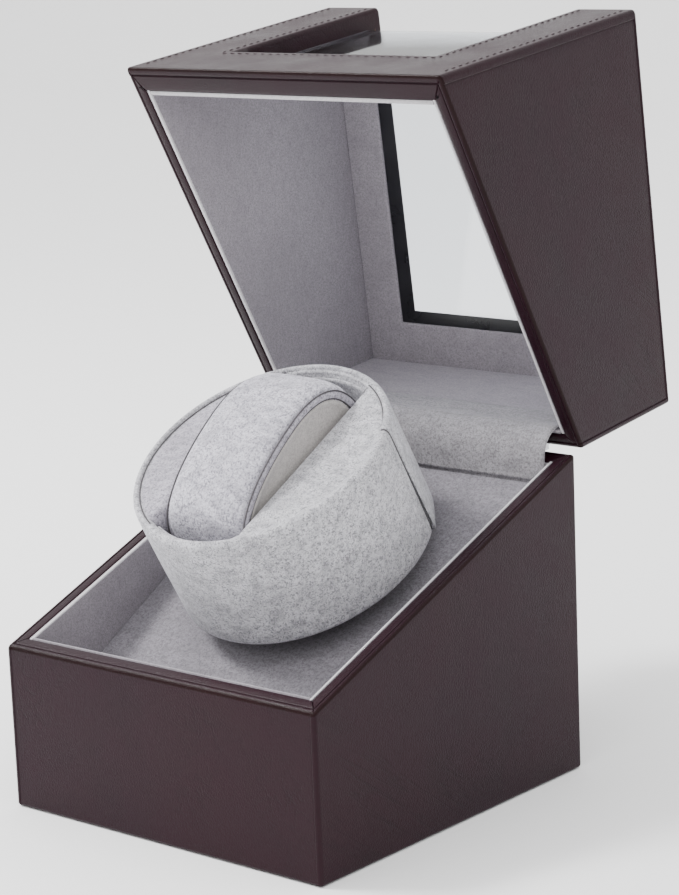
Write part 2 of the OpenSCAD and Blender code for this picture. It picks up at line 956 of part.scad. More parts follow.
module base_leaf() {
    difference() {
        block([hinge_x0, hinge_x1], [skin_y, skin_y + leaf_t], [pin_z - leaf_h, pin_z]);
        block([middle_x0, middle_x1], [skin_y - past, skin_y + leaf_t + past],
            [pin_z - barrel_r - leaf_clear, pin_z + past]);
        cross_bar(pin_r, hinge_x0 - past, hinge_x1 + past, [pin_y, pin_z]);
        hinge_shanks(base_screw_z);
    }
    for (x = [[hinge_x0, middle_x0], [middle_x1, hinge_x1]])
        knuckle(x[0], x[1], pin_r)
            in_lid()
                block([x[0] + ear_inset, x[1] - ear_inset],
                    [skin_y + leaf_t + stop_gap, pin_y + stop_in], [pin_z, pin_z + stop_l]);
}

module base_hinge_leaves() {
    color(steel_color)
        both_sides()
            base_leaf();
}

module lid_leaf() {
    x = [middle_x0 + knuckle_gap, middle_x1 - knuckle_gap];
    notch_top = pin_z + barrel_r + leaf_clear;
    difference() {
        block([hinge_x0, hinge_x1], [skin_y, skin_y + leaf_t], [notch_top, pin_z + leaf_h]);
        hinge_shanks(lid_screw_z);
    }
    knuckle(x[0], x[1], pin_r + run_gap)
        block(x, [skin_y, skin_y + leaf_t], [pin_z, notch_top]);
}

module lid_hinge_leaves() {
    color(steel_color)
        in_lid()
            both_sides()
                lid_leaf();
}

module hinge_pins() {
    color(steel_color)
        both_sides()
            cross_bar(pin_r, hinge_x0, hinge_x1, [pin_y, pin_z]);
}

module hinge_screw_set(z) {
    hinge_shanks(z);
    both_sides()
        for (dx = [-screw_in, screw_in])
            rear_bar(screw_head_r, skin_y + leaf_t, skin_y + leaf_t + screw_head_t, [hinge_x + dx, z]);
}

module base_hinge_screws() {
    color(steel_color)
        hinge_screw_set(base_screw_z);
}

module lid_hinge_screws() {
    color(steel_color)
        in_lid()
            hinge_screw_set(lid_screw_z);
}

// Suede strip that hides the hinge line; it is glued to the lid's back lining
module hinge_cloth() {
    cloth_t = 0.8;
    color(suede_color)
        in_lid()
            block([-liner_x + 0.5, liner_x - 0.5], [liner_y - cloth_t, liner_y],
                [pin_z + 3, pin_z + 14]);
}

// ---------------------------------------------------------------- lid

// Everything that the window takes out of the front and top walls, at a given half width
module window_cut(half_x, low_z, back_y) {
    block([-half_x, half_x], [-skin_y - past, -inner_y], [low_z, closed_h + past]);
    block([-half_x, half_x], [-skin_y - past, back_y], [inner_top, closed_h + past]);
}

// The rebate in the boards' inner faces that the bent pane lies in
module pane_shape(inset) {
    half_x = window_x + rebate - inset;
    low_z = window_z - rebate + inset;
    back_y = window_y + rebate - inset;
    outer_y = -inner_y - pane_t;
    outer_z = inner_top + pane_t;
    block([-half_x, half_x], [outer_y, -inner_y], [low_z, outer_z]);
    block([-half_x, half_x], [outer_y, back_y], [inner_top, outer_z]);
}

module board_window() {
    window_cut(window_x + leather_t, window_z - leather_t, window_y + leather_t);
    pane_shape(0);
}

module lid_side_boards() {
    color(board_color)
        in_lid()
            both_sides()
                prism(lid_wall(-board_y, board_y, board_top, board_drop), inner_x, board_x);
}

module lid_front_board() {
    color(board_color)
        in_lid()
            difference() {
                prism(lid_wall(-board_y, -inner_y, inner_top, board_drop), -inner_x, inner_x);
                board_window();
            }
}

module lid_top_board() {
    color(board_color)
        in_lid()
            difference() {
                block([-inner_x, inner_x], [-board_y, board_y], [inner_top, board_top]);
                board_window();
            }
}

module lid_back_board() {
    color(board_color)
        in_lid()
            difference() {
                prism(lid_wall(inner_y, board_y, inner_top, board_drop), -inner_x, inner_x);
                hinge_shanks(lid_screw_z);
            }
}

// One wrapped skin: all outer faces, the rim, and the window's edges turned in over the boards
module lid_leather() {
    color(leather_color)
        in_lid()
            difference() {
                union() {
                    difference() {
                        prism(lid_wall(-skin_y, skin_y, closed_h, 0), -skin_x, skin_x);
                        prism(lid_wall(-board_y, board_y, board_top, leather_t), -board_x, board_x);
                        prism(lid_wall(-inner_y, inner_y, inner_top, -far / 2), -inner_x, inner_x);
                    }
                    intersection() {
                        window_cut(window_x + leather_t, window_z - leather_t, window_y + leather_t);
                        union() {
                            block([-inner_x, inner_x], [-skin_y, -board_y + lip_t], [0, closed_h]);
                            block([-inner_x, inner_x], [-skin_y, skin_y], [board_top - lip_t, closed_h]);
                        }
                    }
                }
                window_cut(window_x, window_z, window_y);
                block([-inner_x, inner_x], [-board_y + lip_t, inner_y], [0, board_top - lip_t]);
                hinge_shanks(lid_screw_z);
            }
}

module lid_side_liners() {
    color(suede_color)
        in_lid()
            both_sides()
                prism(lid_wall(-inner_y, inner_y, inner_top, liner_drop), liner_x, inner_x);
}

module lid_front_liner() {
    color(suede_color)
        in_lid()
            difference() {
                prism(lid_wall(-inner_y, -liner_y, inner_top, liner_drop), -liner_x, liner_x);
                block([-liner_window_x, liner_window_x], [-skin_y, 0], [liner_window_z, closed_h]);
            }
}

module lid_top_liner() {
    color(suede_color)
        in_lid()
            difference() {
                block([-liner_x, liner_x], [-liner_y, inner_y], [liner_top, inner_top]);
                block([-liner_window_x, liner_window_x], [-skin_y, liner_window_y], [0, closed_h]);
            }
}

module lid_back_liner() {
    color(suede_color)
        in_lid()
            prism(lid_wall(liner_y, inner_y, liner_top, liner_drop), -liner_x, liner_x);
}

// Clear acrylic bent once, so that the window runs from the lid's front round to its top
module window_pane() {
    color([0.85, 0.92, 0.97, 0.35])
        in_lid()
            difference() {
                pane_shape(0.2);
                block([-far, far], [-inner_y, far], [0, inner_top]);
            }
}

// Black border on the pane's inner face, as wide as what shows inside the lining's opening
module window_border() {
    half_x = liner_window_x;
    clear_x = half_x - border_side_w;
    end_z = liner_window_z;
    end_y = liner_window_y;
    color(black_color)
        in_lid()
            difference() {
                union() {
                    block([-half_x, half_x], [-inner_y, -inner_y + border_t], [end_z, inner_top]);
                    block([-half_x, half_x], [-inner_y, end_y], [inner_top - border_t, inner_top]);
                }
                block([-clear_x, clear_x], [-skin_y, -inner_y + 2 * border_t],
                    [end_z + border_end_w, closed_h]);
                block([-clear_x, clear_x], [-skin_y, end_y - border_end_w],
                    [inner_top - 2 * border_t, closed_h]);
            }
}

base_front_board();
base_back_board();
base_side_boards();
base_bottom_board();
base_leather();
bottom_felt();
base_front_liner();
base_back_liner();
base_side_liners();
deck_board();
deck_suede();
deck_cleats();
gearbox_case();
gearbox_cover();
gearbox_screws();
motor_gearhead();
motor_can();
motor_shaft();
motor_pinion();
idler_gear();
idler_axle();
output_gear();
output_shaft();
shaft_bushes();
turntable_hub();
hub_screws();
control_plate();
circuit_board();
dc_socket();
mode_switch();
switch_shaft();
mode_knob();
status_led();
battery_tray();
battery_contacts();
battery_door();
internal_leads();
base_hinge_leaves();
lid_hinge_leaves();
hinge_pins();
base_hinge_screws();
lid_hinge_screws();
hinge_cloth();
lid_side_boards();
lid_front_board();
lid_top_board();
lid_back_board();
lid_leather();
lid_side_liners();
lid_front_liner();
lid_top_liner();
lid_back_liner();
window_pane();
window_border();
cup_shell();
cup_cover();
left_pad();
right_pad();
pillow();
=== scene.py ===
import math

import bmesh
import bpy
import numpy as np
from mathutils import Matrix, Vector


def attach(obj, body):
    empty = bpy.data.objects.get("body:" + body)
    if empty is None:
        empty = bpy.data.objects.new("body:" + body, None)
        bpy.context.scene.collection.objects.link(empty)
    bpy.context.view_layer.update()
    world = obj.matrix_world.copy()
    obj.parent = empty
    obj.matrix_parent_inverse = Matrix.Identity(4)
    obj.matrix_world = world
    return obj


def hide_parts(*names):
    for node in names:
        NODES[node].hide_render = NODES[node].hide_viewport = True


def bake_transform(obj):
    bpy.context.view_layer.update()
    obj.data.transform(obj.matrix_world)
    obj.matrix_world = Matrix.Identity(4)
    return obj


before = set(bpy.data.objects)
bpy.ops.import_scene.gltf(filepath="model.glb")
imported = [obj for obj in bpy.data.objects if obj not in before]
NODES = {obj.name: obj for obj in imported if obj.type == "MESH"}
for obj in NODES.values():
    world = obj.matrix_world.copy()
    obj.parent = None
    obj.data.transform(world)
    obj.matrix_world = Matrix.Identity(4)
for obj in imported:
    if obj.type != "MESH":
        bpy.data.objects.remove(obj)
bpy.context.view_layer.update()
MM = 0.001

# ------------------------------------------------------------------ sizes, in millimetres, as in the CAD
SKIN_X, SKIN_Y = 65.0, 66.0                 # half the leather's outside
INNER_Y = 60.8                              # inside of the boards
LINER_X, LINER_Y, CARD = 58.5, 59.5, 1.3    # face and thickness of the lining cards
FRONT_H, BACK_H, CLOSED_H = 54, 106, 158.0
INNER_TOP, LINER_TOP = 152.8, 151.5
RIM_ANGLE = math.atan((BACK_H - FRONT_H) / (2 * SKIN_Y))
RIM_COS = math.cos(RIM_ANGLE)
RIM_GAP = 0.4                               # between the two rims when shut
PIN_Y, PIN_Z, LID_OPEN = 68.2, 104.3, math.radians(83)
DECK_SLOPE, DECK_FRONT_Z = math.radians(30), 26.8
AXIS_Y = 13.0                               # where the cup's axis meets the deck
WIN_X, WIN_Z, WIN_Y = 42.0, 82.0, 44.0      # the window's clear opening
EDGE_X, EDGE_Z, EDGE_Y = WIN_X + 1, WIN_Z - 1, WIN_Y + 1   # where the leather turns in round it
RIM_TOP, CUP_UNDER, FLOOR_Z = 52.2, 9.4, 12.0
CUP_R, BOWL_R = 43.8, 39.9
SLOT_HALF = 17.6
CUP_TURN = math.radians(-2)
SEAM_ANGLE = 25.0


def rim_z(y, drop=0.0):
    return FRONT_H + (y + SKIN_Y) * math.tan(RIM_ANGLE) - drop / RIM_COS


def lid_rim_z(y, rise=0.0):
    return rim_z(y, -RIM_GAP - rise)


def deck_z(y):
    return DECK_FRONT_Z + (y + INNER_Y) * math.tan(DECK_SLOPE)


def turn_x(p, angle, y=0.0, z=0.0):
    p = np.array(p, float).reshape(-1, 3)
    c, s = math.cos(angle), math.sin(angle)
    dy, dz = p[:, 1] - y, p[:, 2] - z
    return np.stack([p[:, 0], y + c * dy - s * dz, z + s * dy + c * dz], 1)


def in_lid(p):
    """Points drawn on the shut lid, turned back to its open stop."""
    return turn_x(p, -LID_OPEN, PIN_Y, PIN_Z)


def on_deck(p):
    return turn_x(p, DECK_SLOPE) + np.array([0, AXIS_Y, deck_z(AXIS_Y)])


def in_cup(p):
    p = np.array(p, float).reshape(-1, 3)
    c, s = math.cos(CUP_TURN), math.sin(CUP_TURN)
    return on_deck(np.stack([p[:, 0] * c - p[:, 1] * s, p[:, 0] * s + p[:, 1] * c, p[:, 2]], 1))


def polar(radius, degrees):
    a = math.radians(degrees)
    return radius * math.cos(a), radius * math.sin(a)


def unit(v):
    v = np.array(v, float)
    return v / np.linalg.norm(v)


def smoothstep(t):
    return t * t * (3 - 2 * t)


def catmull(points, steps):
    p = np.array(points, float)
    q = np.vstack([2 * p[0] - p[1], p, 2 * p[-1] - p[-2]])
    out = []
    for a, b, c, d in zip(q, q[1:], q[2:], q[3:]):
        for t in np.arange(steps) / steps:
            out.append(0.5 * (2 * b + (c - a) * t + (2 * a - 5 * b + 4 * c - d) * t * t
                              + (3 * b - a - 3 * c + d) * t ** 3))
    return np.array(out + [p[-1]])


def line_normals(line, straight=0):
    """Unit normals on the left of a 2-D line; straight tells how many points at its ends go along z and y."""
    tan = np.gradient(line, axis=0)
    if straight:
        tan[:straight], tan[-straight:] = (0, 1), (1, 0)
    tan /= np.linalg.norm(tan, axis=1)[:, None]
    return np.stack([-tan[:, 1], tan[:, 0]], 1)


# ------------------------------------------------------------------ materials
LOW_HIGH = (0.35, 0.0), (0.7, 1.0)


def times(colour, factor):
    return tuple(v * factor for v in colour)


class Nodes:
    """A small helper that builds one procedural material."""

    def __init__(self, name):
        self.mat = bpy.data.materials.new(name)
        self.mat.use_nodes = True
        self.tree = self.mat.node_tree
        self.tree.nodes.clear()
        self.out = self.tree.nodes.new("ShaderNodeOutputMaterial")
        self.bsdf = self.tree.nodes.new("ShaderNodeBsdfPrincipled")
        self.tree.links.new(self.bsdf.outputs[0], self.out.inputs[0])
        self.coord = self.tree.nodes.new("ShaderNodeTexCoord").outputs["Object"]

    def link(self, value, socket):
        if isinstance(value, bpy.types.NodeSocket):
            self.tree.links.new(value, socket)
        elif value is not None:
            socket.default_value = value

    def add(self, kind, **inputs):
        n = self.tree.nodes.new(kind)
        for key, value in inputs.items():
            if hasattr(n, key) and not key[0].isupper():
                setattr(n, key, value)
            else:
                self.link(value, n.inputs[key.replace("_", " ")])
        return n.outputs[0]

    def scaled(self, x, y, z, turn=(0, 0, 0)):
        return self.add("ShaderNodeMapping", Vector=self.coord, Scale=(x, y, z), Rotation=turn)

    def noise(self, scale, detail=3.0, rough=0.5, vector=None, warp=0.0):
        return self.add("ShaderNodeTexNoise", Vector=vector or self.coord, Scale=scale, Detail=detail,
                        Roughness=rough, Distortion=warp)

    def grey(self, fac, *stops):
        n = self.tree.nodes.new("ShaderNodeValToRGB")
        self.link(fac, n.inputs[0])
        r = n.color_ramp
        while len(r.elements) < len(stops):
            r.elements.new(0.5)
        for e, (at, v) in zip(r.elements, stops):
            e.position, e.color = at, (v, v, v, 1)
        return n.outputs[0]

    def math(self, op, a, b=0.0):
        n = self.tree.nodes.new("ShaderNodeMath")
        n.operation = op
        self.link(a, n.inputs[0])
        self.link(b, n.inputs[1])
        return n.outputs[0]

    def mix(self, fac, a, b):
        n = self.tree.nodes.new("ShaderNodeMix")
        n.data_type = "RGBA"
        self.link(fac, n.inputs[0])
        for value, socket in ((a, n.inputs[6]), (b, n.inputs[7])):
            self.link(value if isinstance(value, bpy.types.NodeSocket) else (*value, 1), socket)
        return n.outputs[2]

    def bump(self, height, distance, strength=1.0, normal=None):
        return self.add("ShaderNodeBump", Strength=strength, Distance=distance, Height=height, Normal=normal)

    def spread(self, value, low, high, top=0.7):
        return self.add("ShaderNodeMapRange", Value=value, From_Min=0.3, From_Max=top, To_Min=low, To_Max=high)

    def set(self, **inputs):
        for key, value in inputs.items():
            self.link(value, self.bsdf.inputs[key.replace("_", " ")])
        return self.mat


LEATHER_SHADES = (0.0098, 0.0019, 0.0050), (0.0138, 0.0029, 0.0072), (0.0165, 0.0032, 0.0062)


def leather(name, tint=(1.0, 1.0, 1.0), coat=0.04):
    """Smooth plum-brown leather: fine grain, soft drifts of tone and faint long pulls, their creases darkened as
    painted shade.
    """
    m = Nodes(name)
    turned = m.add("ShaderNodeMapping", Vector=m.coord, Rotation=(math.radians(35), math.radians(20), 0))
    drift = m.noise(9, 3, 0.55)
    patch = m.noise(60, 4, 0.6)
    lane = m.noise(1.0, 3, 0.5, m.add("ShaderNodeMapping", Vector=turned, Scale=(200, 16, 200)))
    pull = m.grey(m.math("ABSOLUTE", m.math("SUBTRACT", lane, 0.5)), (0.0, 1.0), (0.02, 0.4), (0.06, 0.0))
    pull = m.math("MULTIPLY", pull, m.grey(m.noise(22, 2, 0.5), (0.50, 0.0), (0.68, 1.0)))
    grain = m.add("ShaderNodeTexVoronoi", Vector=m.coord, Scale=1150.0, feature="DISTANCE_TO_EDGE")
    grain = m.grey(grain, (0.0, 0.0), (0.16, 0.8), (0.5, 1.0))
    fine = m.noise(1500, 3, 0.6)
    dark, middle, red = [tuple(v * t for v, t in zip(shade, tint)) for shade in LEATHER_SHADES]
    colour = m.mix(m.grey(patch, (0.3, 0.0), (0.7, 1.0)), dark, middle)
    colour = m.mix(m.grey(drift, (0.42, 0.0), (0.72, 0.6)), colour, red)
    # Darkens the pulls' creases toward near-black: painted shade in the creases.
    colour = m.mix(m.math("MULTIPLY", pull, 0.25), colour, (0.002, 0.001, 0.0015))
    normal = None
    for height, distance, strength in ((drift, 0.0010, 0.3), (patch, 0.0002, 0.35),
                                       (m.math("MULTIPLY", pull, -1.0), 0.00006, 0.6), (grain, 0.00006, 0.7),
                                       (fine, 0.00005, 0.6)):
        normal = m.bump(height, distance, strength, normal)
    return m.set(Base_Color=colour, Roughness=m.spread(patch, 0.30, 0.42), Specular_IOR_Level=0.11,
                 Normal=normal, Coat_Weight=coat, Coat_Roughness=0.16, Coat_Normal=normal)


def suede(name, light, dark, nap=1.0, mottle=1.0):
    """Brushed suede: light and dark tufts under a millimetre wide, with the nap laid in drifts."""
    m = Nodes(name)
    broad = m.noise(30, 4, 0.6)
    clump = m.noise(1150 / nap, 3, 0.7, None, 0.6)
    fleck = m.noise(2600 / nap, 2, 0.6)
    drift = m.noise(1.0, 4, 0.6, m.scaled(150, 420, 260, (0.3, 0.1, 0.5)))
    colour = m.mix(m.grey(clump, (0.43, 0.0), (0.57, 1.0)), dark, light)
    colour = m.mix(m.math("MULTIPLY", m.grey(fleck, (0.42, 0.0), (0.62, 1.0)), 0.50 * mottle), colour,
                   tuple(min(1.0, v * 1.30) for v in light))
    colour = m.mix(m.math("MULTIPLY", m.grey(drift, (0.45, 0.0), (0.72, 1.0)), 0.30 * mottle), colour,
                   times(dark, 0.80))
    colour = m.mix(m.grey(broad, (0.42, 0.0), (0.72, 0.35)), colour, times(dark, 0.95))
    normal = m.bump(clump, 0.00022 * nap, 0.75 * mottle)
    normal = m.bump(fleck, 0.00010 * nap, 0.7, normal)
    return m.set(Base_Color=colour, Roughness=0.95, Specular_IOR_Level=0.15, Normal=normal,
                 Sheen_Weight=0.30, Sheen_Roughness=0.45, Sheen_Tint=(0.95, 0.94, 1.0, 1))


def plastic(name, colour, rough=0.38, grain=0.00003, scale=2200):
    m = Nodes(name)
    fine = m.noise(scale, 3, 0.6)
    cloud = m.noise(70, 3, 0.5)
    light = tuple(min(1, v * 1.25 + 0.004) for v in colour)
    return m.set(Base_Color=m.mix(m.grey(cloud, *LOW_HIGH), colour, light),
                 Roughness=m.spread(cloud, rough - 0.05, rough + 0.07), Normal=m.bump(fine, grain, 0.6))


def metal(name, colour, rough=0.28):
    m = Nodes(name)
    brush = m.noise(1.0, 4, 0.6, m.scaled(120, 2600, 2600))
    cloud = m.noise(160, 3, 0.6)
    return m.set(Base_Color=m.mix(m.grey(cloud, *LOW_HIGH), colour, times(colour, 0.8)), Metallic=1.0,
                 Roughness=m.spread(brush, rough - 0.07, rough + 0.1), Normal=m.bump(brush, 0.00002, 0.4))


def board(name):
    m = Nodes(name)
    fibre = m.noise(1.0, 5, 0.65, m.scaled(500, 900, 1500))
    cloud = m.noise(60, 4, 0.6)
    col = m.mix(m.grey(fibre, (0.35, 0.0), (0.68, 1.0)), (0.30, 0.19, 0.10), (0.46, 0.32, 0.19))
    col = m.mix(m.grey(cloud, (0.4, 0.0), (0.7, 0.4)), col, (0.25, 0.16, 0.09))
    return m.set(Base_Color=col, Roughness=0.85, Normal=m.bump(fibre, 0.00012, 0.6))


def felt(name):
    m = Nodes(name)
    fibre = m.noise(900, 5, 0.7, None, 1.5)
    col = m.mix(m.grey(fibre, (0.35, 0.0), (0.68, 1.0)), (0.010, 0.010, 0.012), (0.045, 0.044, 0.048))
    return m.set(Base_Color=col, Roughness=0.98, Normal=m.bump(fibre, 0.0003, 0.8), Sheen_Weight=0.3)


def circuit(name):
    m = Nodes(name)
    grid = m.add("ShaderNodeTexVoronoi", Vector=m.scaled(420, 1, 420), Scale=1.0, distance="MANHATTAN",
                 feature="DISTANCE_TO_EDGE")
    track = m.grey(grid, (0.0, 1.0), (0.09, 1.0), (0.11, 0.0))
    col = m.mix(track, (0.012, 0.10, 0.045), (0.03, 0.22, 0.10))
    return m.set(Base_Color=col, Roughness=0.35, Normal=m.bump(track, 0.00004, 0.7))


def acrylic(name, tint=(0.93, 0.965, 1.0, 1)):
    """Clear sheet that lets light through to what stands behind it."""
    m = Nodes(name)
    smear = m.noise(28, 4, 0.6)
    m.set(Base_Color=tint, Roughness=m.spread(smear, 0.02, 0.07, 0.75), Transmission_Weight=1.0, IOR=1.49,
          Normal=m.bump(smear, 0.00008, 0.25))
    through = m.add("ShaderNodeBsdfTransparent", Color=tint)
    mixer = m.tree.nodes.new("ShaderNodeMixShader")
    path = m.tree.nodes.new("ShaderNodeLightPath")
    for source, socket in ((path.outputs["Is Shadow Ray"], mixer.inputs[0]),
                           (m.bsdf.outputs[0], mixer.inputs[1]), (through, mixer.inputs[2]),
                           (mixer.outputs[0], m.out.inputs[0])):
        m.link(source, socket)
    return m.mat


M = {
    "leather": leather("plum_leather"),
    # Darker, redder copy of the leather for the outward half of each rim's fold: its darkening is painted shade
    # along the fold.
    "edge": leather("plum_leather_shaded_fold", (0.62, 0.24, 0.22), 0.0),
    "thread": plastic("dark_thread", (0.050, 0.036, 0.040), 0.5, 0.00008, 5000),
    "lining": suede("lining_suede", (0.310, 0.285, 0.312), (0.205, 0.188, 0.208), 0.8, 1.1),
    # Paler suede for the cards' top edges along the rim: a painted highlight.
    "lining_edge_highlight": suede("lining_edge_highlight", (0.560, 0.545, 0.560), (0.440, 0.425, 0.440), 0.8, 0.8),
    "deck": suede("deck_suede", (0.222, 0.209, 0.232), (0.128, 0.120, 0.134), 1.2, 1.1),
    "bridge": suede("bridge_suede", (0.300, 0.288, 0.304), (0.160, 0.152, 0.162), 1.1, 1.3),
    "cup": suede("cup_suede", (0.480, 0.474, 0.500), (0.200, 0.197, 0.212), 1.4, 1.9),
    "pad": suede("pad_suede", (0.390, 0.370, 0.420), (0.190, 0.178, 0.206), 1.5, 1.7),
    "pillow": suede("pillow_suede", (0.500, 0.485, 0.540), (0.215, 0.206, 0.240), 1.6, 2.0),
    "hollow": suede("pillow_lining", (0.470, 0.445, 0.430), (0.350, 0.330, 0.318), 0.8, 0.8),
    # Dark grey for the cords laid in seam gaps and for the cup's underside: painted shade, not a thread's colour.
    "seam": plastic("seam_painted_shade", (0.060, 0.055, 0.060), 0.8, 0.00008, 6000),
    "board": board("fibre_board"),
    "felt": felt("black_felt"),
    "black": plastic("black_plastic", (0.012, 0.012, 0.014), 0.42),
    "gear": plastic("gear_acetal", (0.70, 0.68, 0.60), 0.32),
    "steel": metal("steel", (0.60, 0.60, 0.62)),
    "brass": metal("brass", (0.65, 0.47, 0.19)),
    "circuit": circuit("circuit_board_green"),
    "lens": plastic("lamp_lens", (0.45, 0.75, 0.48), 0.18),
    "lead": plastic("lead_sheath", (0.30, 0.02, 0.015), 0.45),
    "pane": acrylic("clear_acrylic"),
    "border": plastic("black_border", (0.006, 0.006, 0.008), 0.30),
}


# ------------------------------------------------------------------ meshes and pieces
def piece(name, verts, faces, mats, body, slot, replaces=(), place=None, faces_mat=None, weld=0.0,
          weighted=True, flip=None):
    """A mesh from points in millimetres; flip is (point, way out) where the faces have to look outward."""
    v = np.array(verts, float).reshape(-1, 3)
    place = place or np.array
    mesh = bpy.data.meshes.new(name)
    mesh.from_pydata((place(v) * MM).tolist(), [], [tuple(int(i) for i in f) for f in faces])
    mesh.validate()
    bm = bmesh.new()
    bm.from_mesh(mesh)
    if faces_mat is not None:
        for f, k in zip(bm.faces, faces_mat):
            f.material_index = k
    if weld:
        bmesh.ops.remove_doubles(bm, verts=bm.verts, dist=weld * MM)
        bmesh.ops.dissolve_degenerate(bm, edges=bm.edges, dist=weld * MM * 0.5)
    bmesh.ops.recalc_face_normals(bm, faces=bm.faces)
    if flip:
        at, tip = [Vector(p) for p in place(np.array([flip[0], np.add(*flip)], float)) * MM]
        best = min(bm.faces, key=lambda f: (f.calc_center_median() - at).length)
        if best.normal.dot(tip - at) < 0:
            bmesh.ops.reverse_faces(bm, faces=bm.faces)
    bm.to_mesh(mesh)
    bm.free()
    for mat in [mats] if isinstance(mats, str) else mats:
        mesh.materials.append(M[mat])
    mesh.shade_smooth()
    o = bpy.data.objects.new(name, mesh)
    bpy.context.scene.collection.objects.link(o)
    if weighted:
        w = o.modifiers.new("even_normals", "WEIGHTED_NORMAL")
        w.weight = 80
        w.keep_sharp = True
    if body:
        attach(o, body)
    if replaces:
        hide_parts(*replaces)
    return o


def cup_piece(name, verts, faces, mats, body="cup", replaces=(), **more):
    return piece(name, verts, faces, mats, body, "cup_suede", replaces, place=in_cup, weighted=False, **more)


def get_points(o):
    return np.array([v.co for v in o.data.vertices], float)


def set_points(o, points):
    o.data.vertices.foreach_set("co", points.astype(np.float32).ravel())
    o.data.update()


def centre(verts, face):
    return np.mean([verts[i] for i in face], 0)


def join_meshes(parts):
    """Several (verts, faces) as one."""
    verts, faces = [], []
    for v, f in parts:
        n = len(verts)
        verts.extend([tuple(p) for p in v])
        faces.extend([tuple(i + n for i in q) for q in f])
    return verts, faces


def grid_faces(rows, cols, close_rows=False, close_cols=False):
    out = []
    for i in range(rows if close_rows else rows - 1):
        for j in range(cols if close_cols else cols - 1):
            a, b = i * cols + j, i * cols + (j + 1) % cols
            c, d = ((i + 1) % rows) * cols + (j + 1) % cols, ((i + 1) % rows) * cols + j
            out.append((a, b, c, d))
    return out


def caps(rings, n):
    """The two faces that close a stack of rings of n points."""
    return [tuple(range(n)), tuple((rings - 1) * n + k for k in range(n))]


def stack_faces(rings, n):
    return grid_faces(rings, n, close_cols=True) + caps(rings, n)


def rim_loop(n, m):
    """The outer points of an n by m grid, in order."""
    return [*range(m), *(i * m + m - 1 for i in range(1, n)), *((n - 1) * m + j for j in range(m - 2, -1, -1)),
            *(i * m for i in range(n - 2, 0, -1))]


def walls(loop, far):
    """Faces between a loop of points and the same loop, far places later."""
    return [(a, b, far + b, far + a) for a, b in zip(loop, loop[1:] + loop[:1])]


def two_skins(n, m):
    """Faces of two n by m grids, one after the other, closed round their rims."""
    near = grid_faces(n, m)
    return near + [tuple(n * m + i for i in f[::-1]) for f in near] + walls(rim_loop(n, m), n * m)


def area2(outline):
    p = np.array(outline, float)
    return 0.5 * float(np.sum(p[:, 0] * np.roll(p[:, 1], -1) - np.roll(p[:, 0], -1) * p[:, 1]))


def offset_outline(outline, inset):
    """A planar outline of 2-D points, counter-clockwise, moved inward by inset."""
    p = np.array(outline, float)
    out = []
    for before, here, after in zip(np.roll(p, 1, 0), p, np.roll(p, -1, 0)):
        e1, e2 = unit(here - before), unit(after - here)
        m1, m2 = np.array([-e1[1], e1[0]]), np.array([-e2[1], e2[0]])
        out.append(here + (m1 + m2) / max(0.25, 1 + m1 @ m2) * inset)
    return out


def card(outline, to_space, thick, round_r):
    """A rounded slab. to_space(u, v, depth) gives a point, depth 0 being the face that shows."""
    if area2(outline) < 0:
        outline = outline[::-1]
    rings = [(0.0, thick), (0.0, round_r)]
    for a in np.radians((22.5, 45, 67.5, 90)):
        rings.append((round_r * (1 - math.cos(a)), round_r * (1 - math.sin(a))))
    verts = [to_space(u, v, depth) for inset, depth in rings for u, v in offset_outline(outline, inset)]
    return verts, stack_faces(len(rings), len(outline))


def tube(path, radius, sides=8, closed=False):
    p = np.array(path, float)
    n = len(p)
    tan = np.roll(p, -1, 0) - np.roll(p, 1, 0)
    if not closed:
        tan[0], tan[-1] = p[1] - p[0], p[-1] - p[-2]
    tan /= np.linalg.norm(tan, axis=1)[:, None]
    side = unit(np.cross(tan[0], (0.0, 0.0, 1.0) if abs(tan[0][2]) < 0.9 else (1.0, 0.0, 0.0)))
    verts = []
    for at, t in zip(p, tan):
        side = unit(side - (side @ t) * t)
        other = np.cross(t, side)
        for k in range(sides):
            c, s = polar(1.0, 360 * k / sides)
            verts.append(at + radius * (c * side + s * other))
    faces = grid_faces(n, sides, close_rows=closed, close_cols=True)
    return verts, faces if closed else faces + caps(n, sides)


STITCH, STITCH_WIDE, STITCH_HIGH, PITCH = 2.3, 0.42, 0.22, 3.3


def stitch(at, along, out):
    """One stitch: a short thread that rises out of the leather and dives back in."""
    along, out = unit(along), unit(out)
    side = np.cross(along, out)
    verts, steps, sides = [], 6, 6
    for i in range(steps + 1):
        t = i / steps
        fat = STITCH_WIDE * math.sin(math.pi * (0.12 + 0.76 * t))
        lift = STITCH_HIGH * (math.sin(math.pi * t) - 0.35)
        for k in range(sides):
            c, s = polar(fat, 360 * k / sides)
            verts.append(np.array(at) + along * (t - 0.5) * STITCH + out * (lift + s * 0.42) + side * c * 0.5)
    return verts, stack_faces(steps + 1, sides)


# ------------------------------------------------------------------ leather shells
CORNER_R, FOLD_R, TOP_FOLD_R = 1.2, 1.1, 1.3
FOOT_Z = 1.3                                # where the base's leather leaves its rounded foot
FOLD = [(0.0, FOLD_R), (0.08, 0.68), (0.32, 0.32), (0.68, 0.08), (FOLD_R, 0.0)]
RIM = [(1.35, 0.02), (1.5, 0.12), (1.58, 0.42), (1.74, 0.42), (1.82, 0.1), (1.98, -0.02), (3.3, -0.10),
       (4.4, -0.04), (4.85, 0.12), (5.1, 0.45), (5.2, 1.0)]
TANGENT = [(1, 0), (0, 1), (-1, 0), (0, -1)]
OUTWARD = [(0, -1), (1, 0), (0, 1), (-1, 0)]
QUARTER = [0, 22.5, 45, 67.5, 90]
BASE_LAP, BASE_GROOVE = 0.14, 0.16
LID_LAP, LID_GROOVE = 0.16, 0.22
MITRE = 0.42                                # depth of the fold at a rim's corner
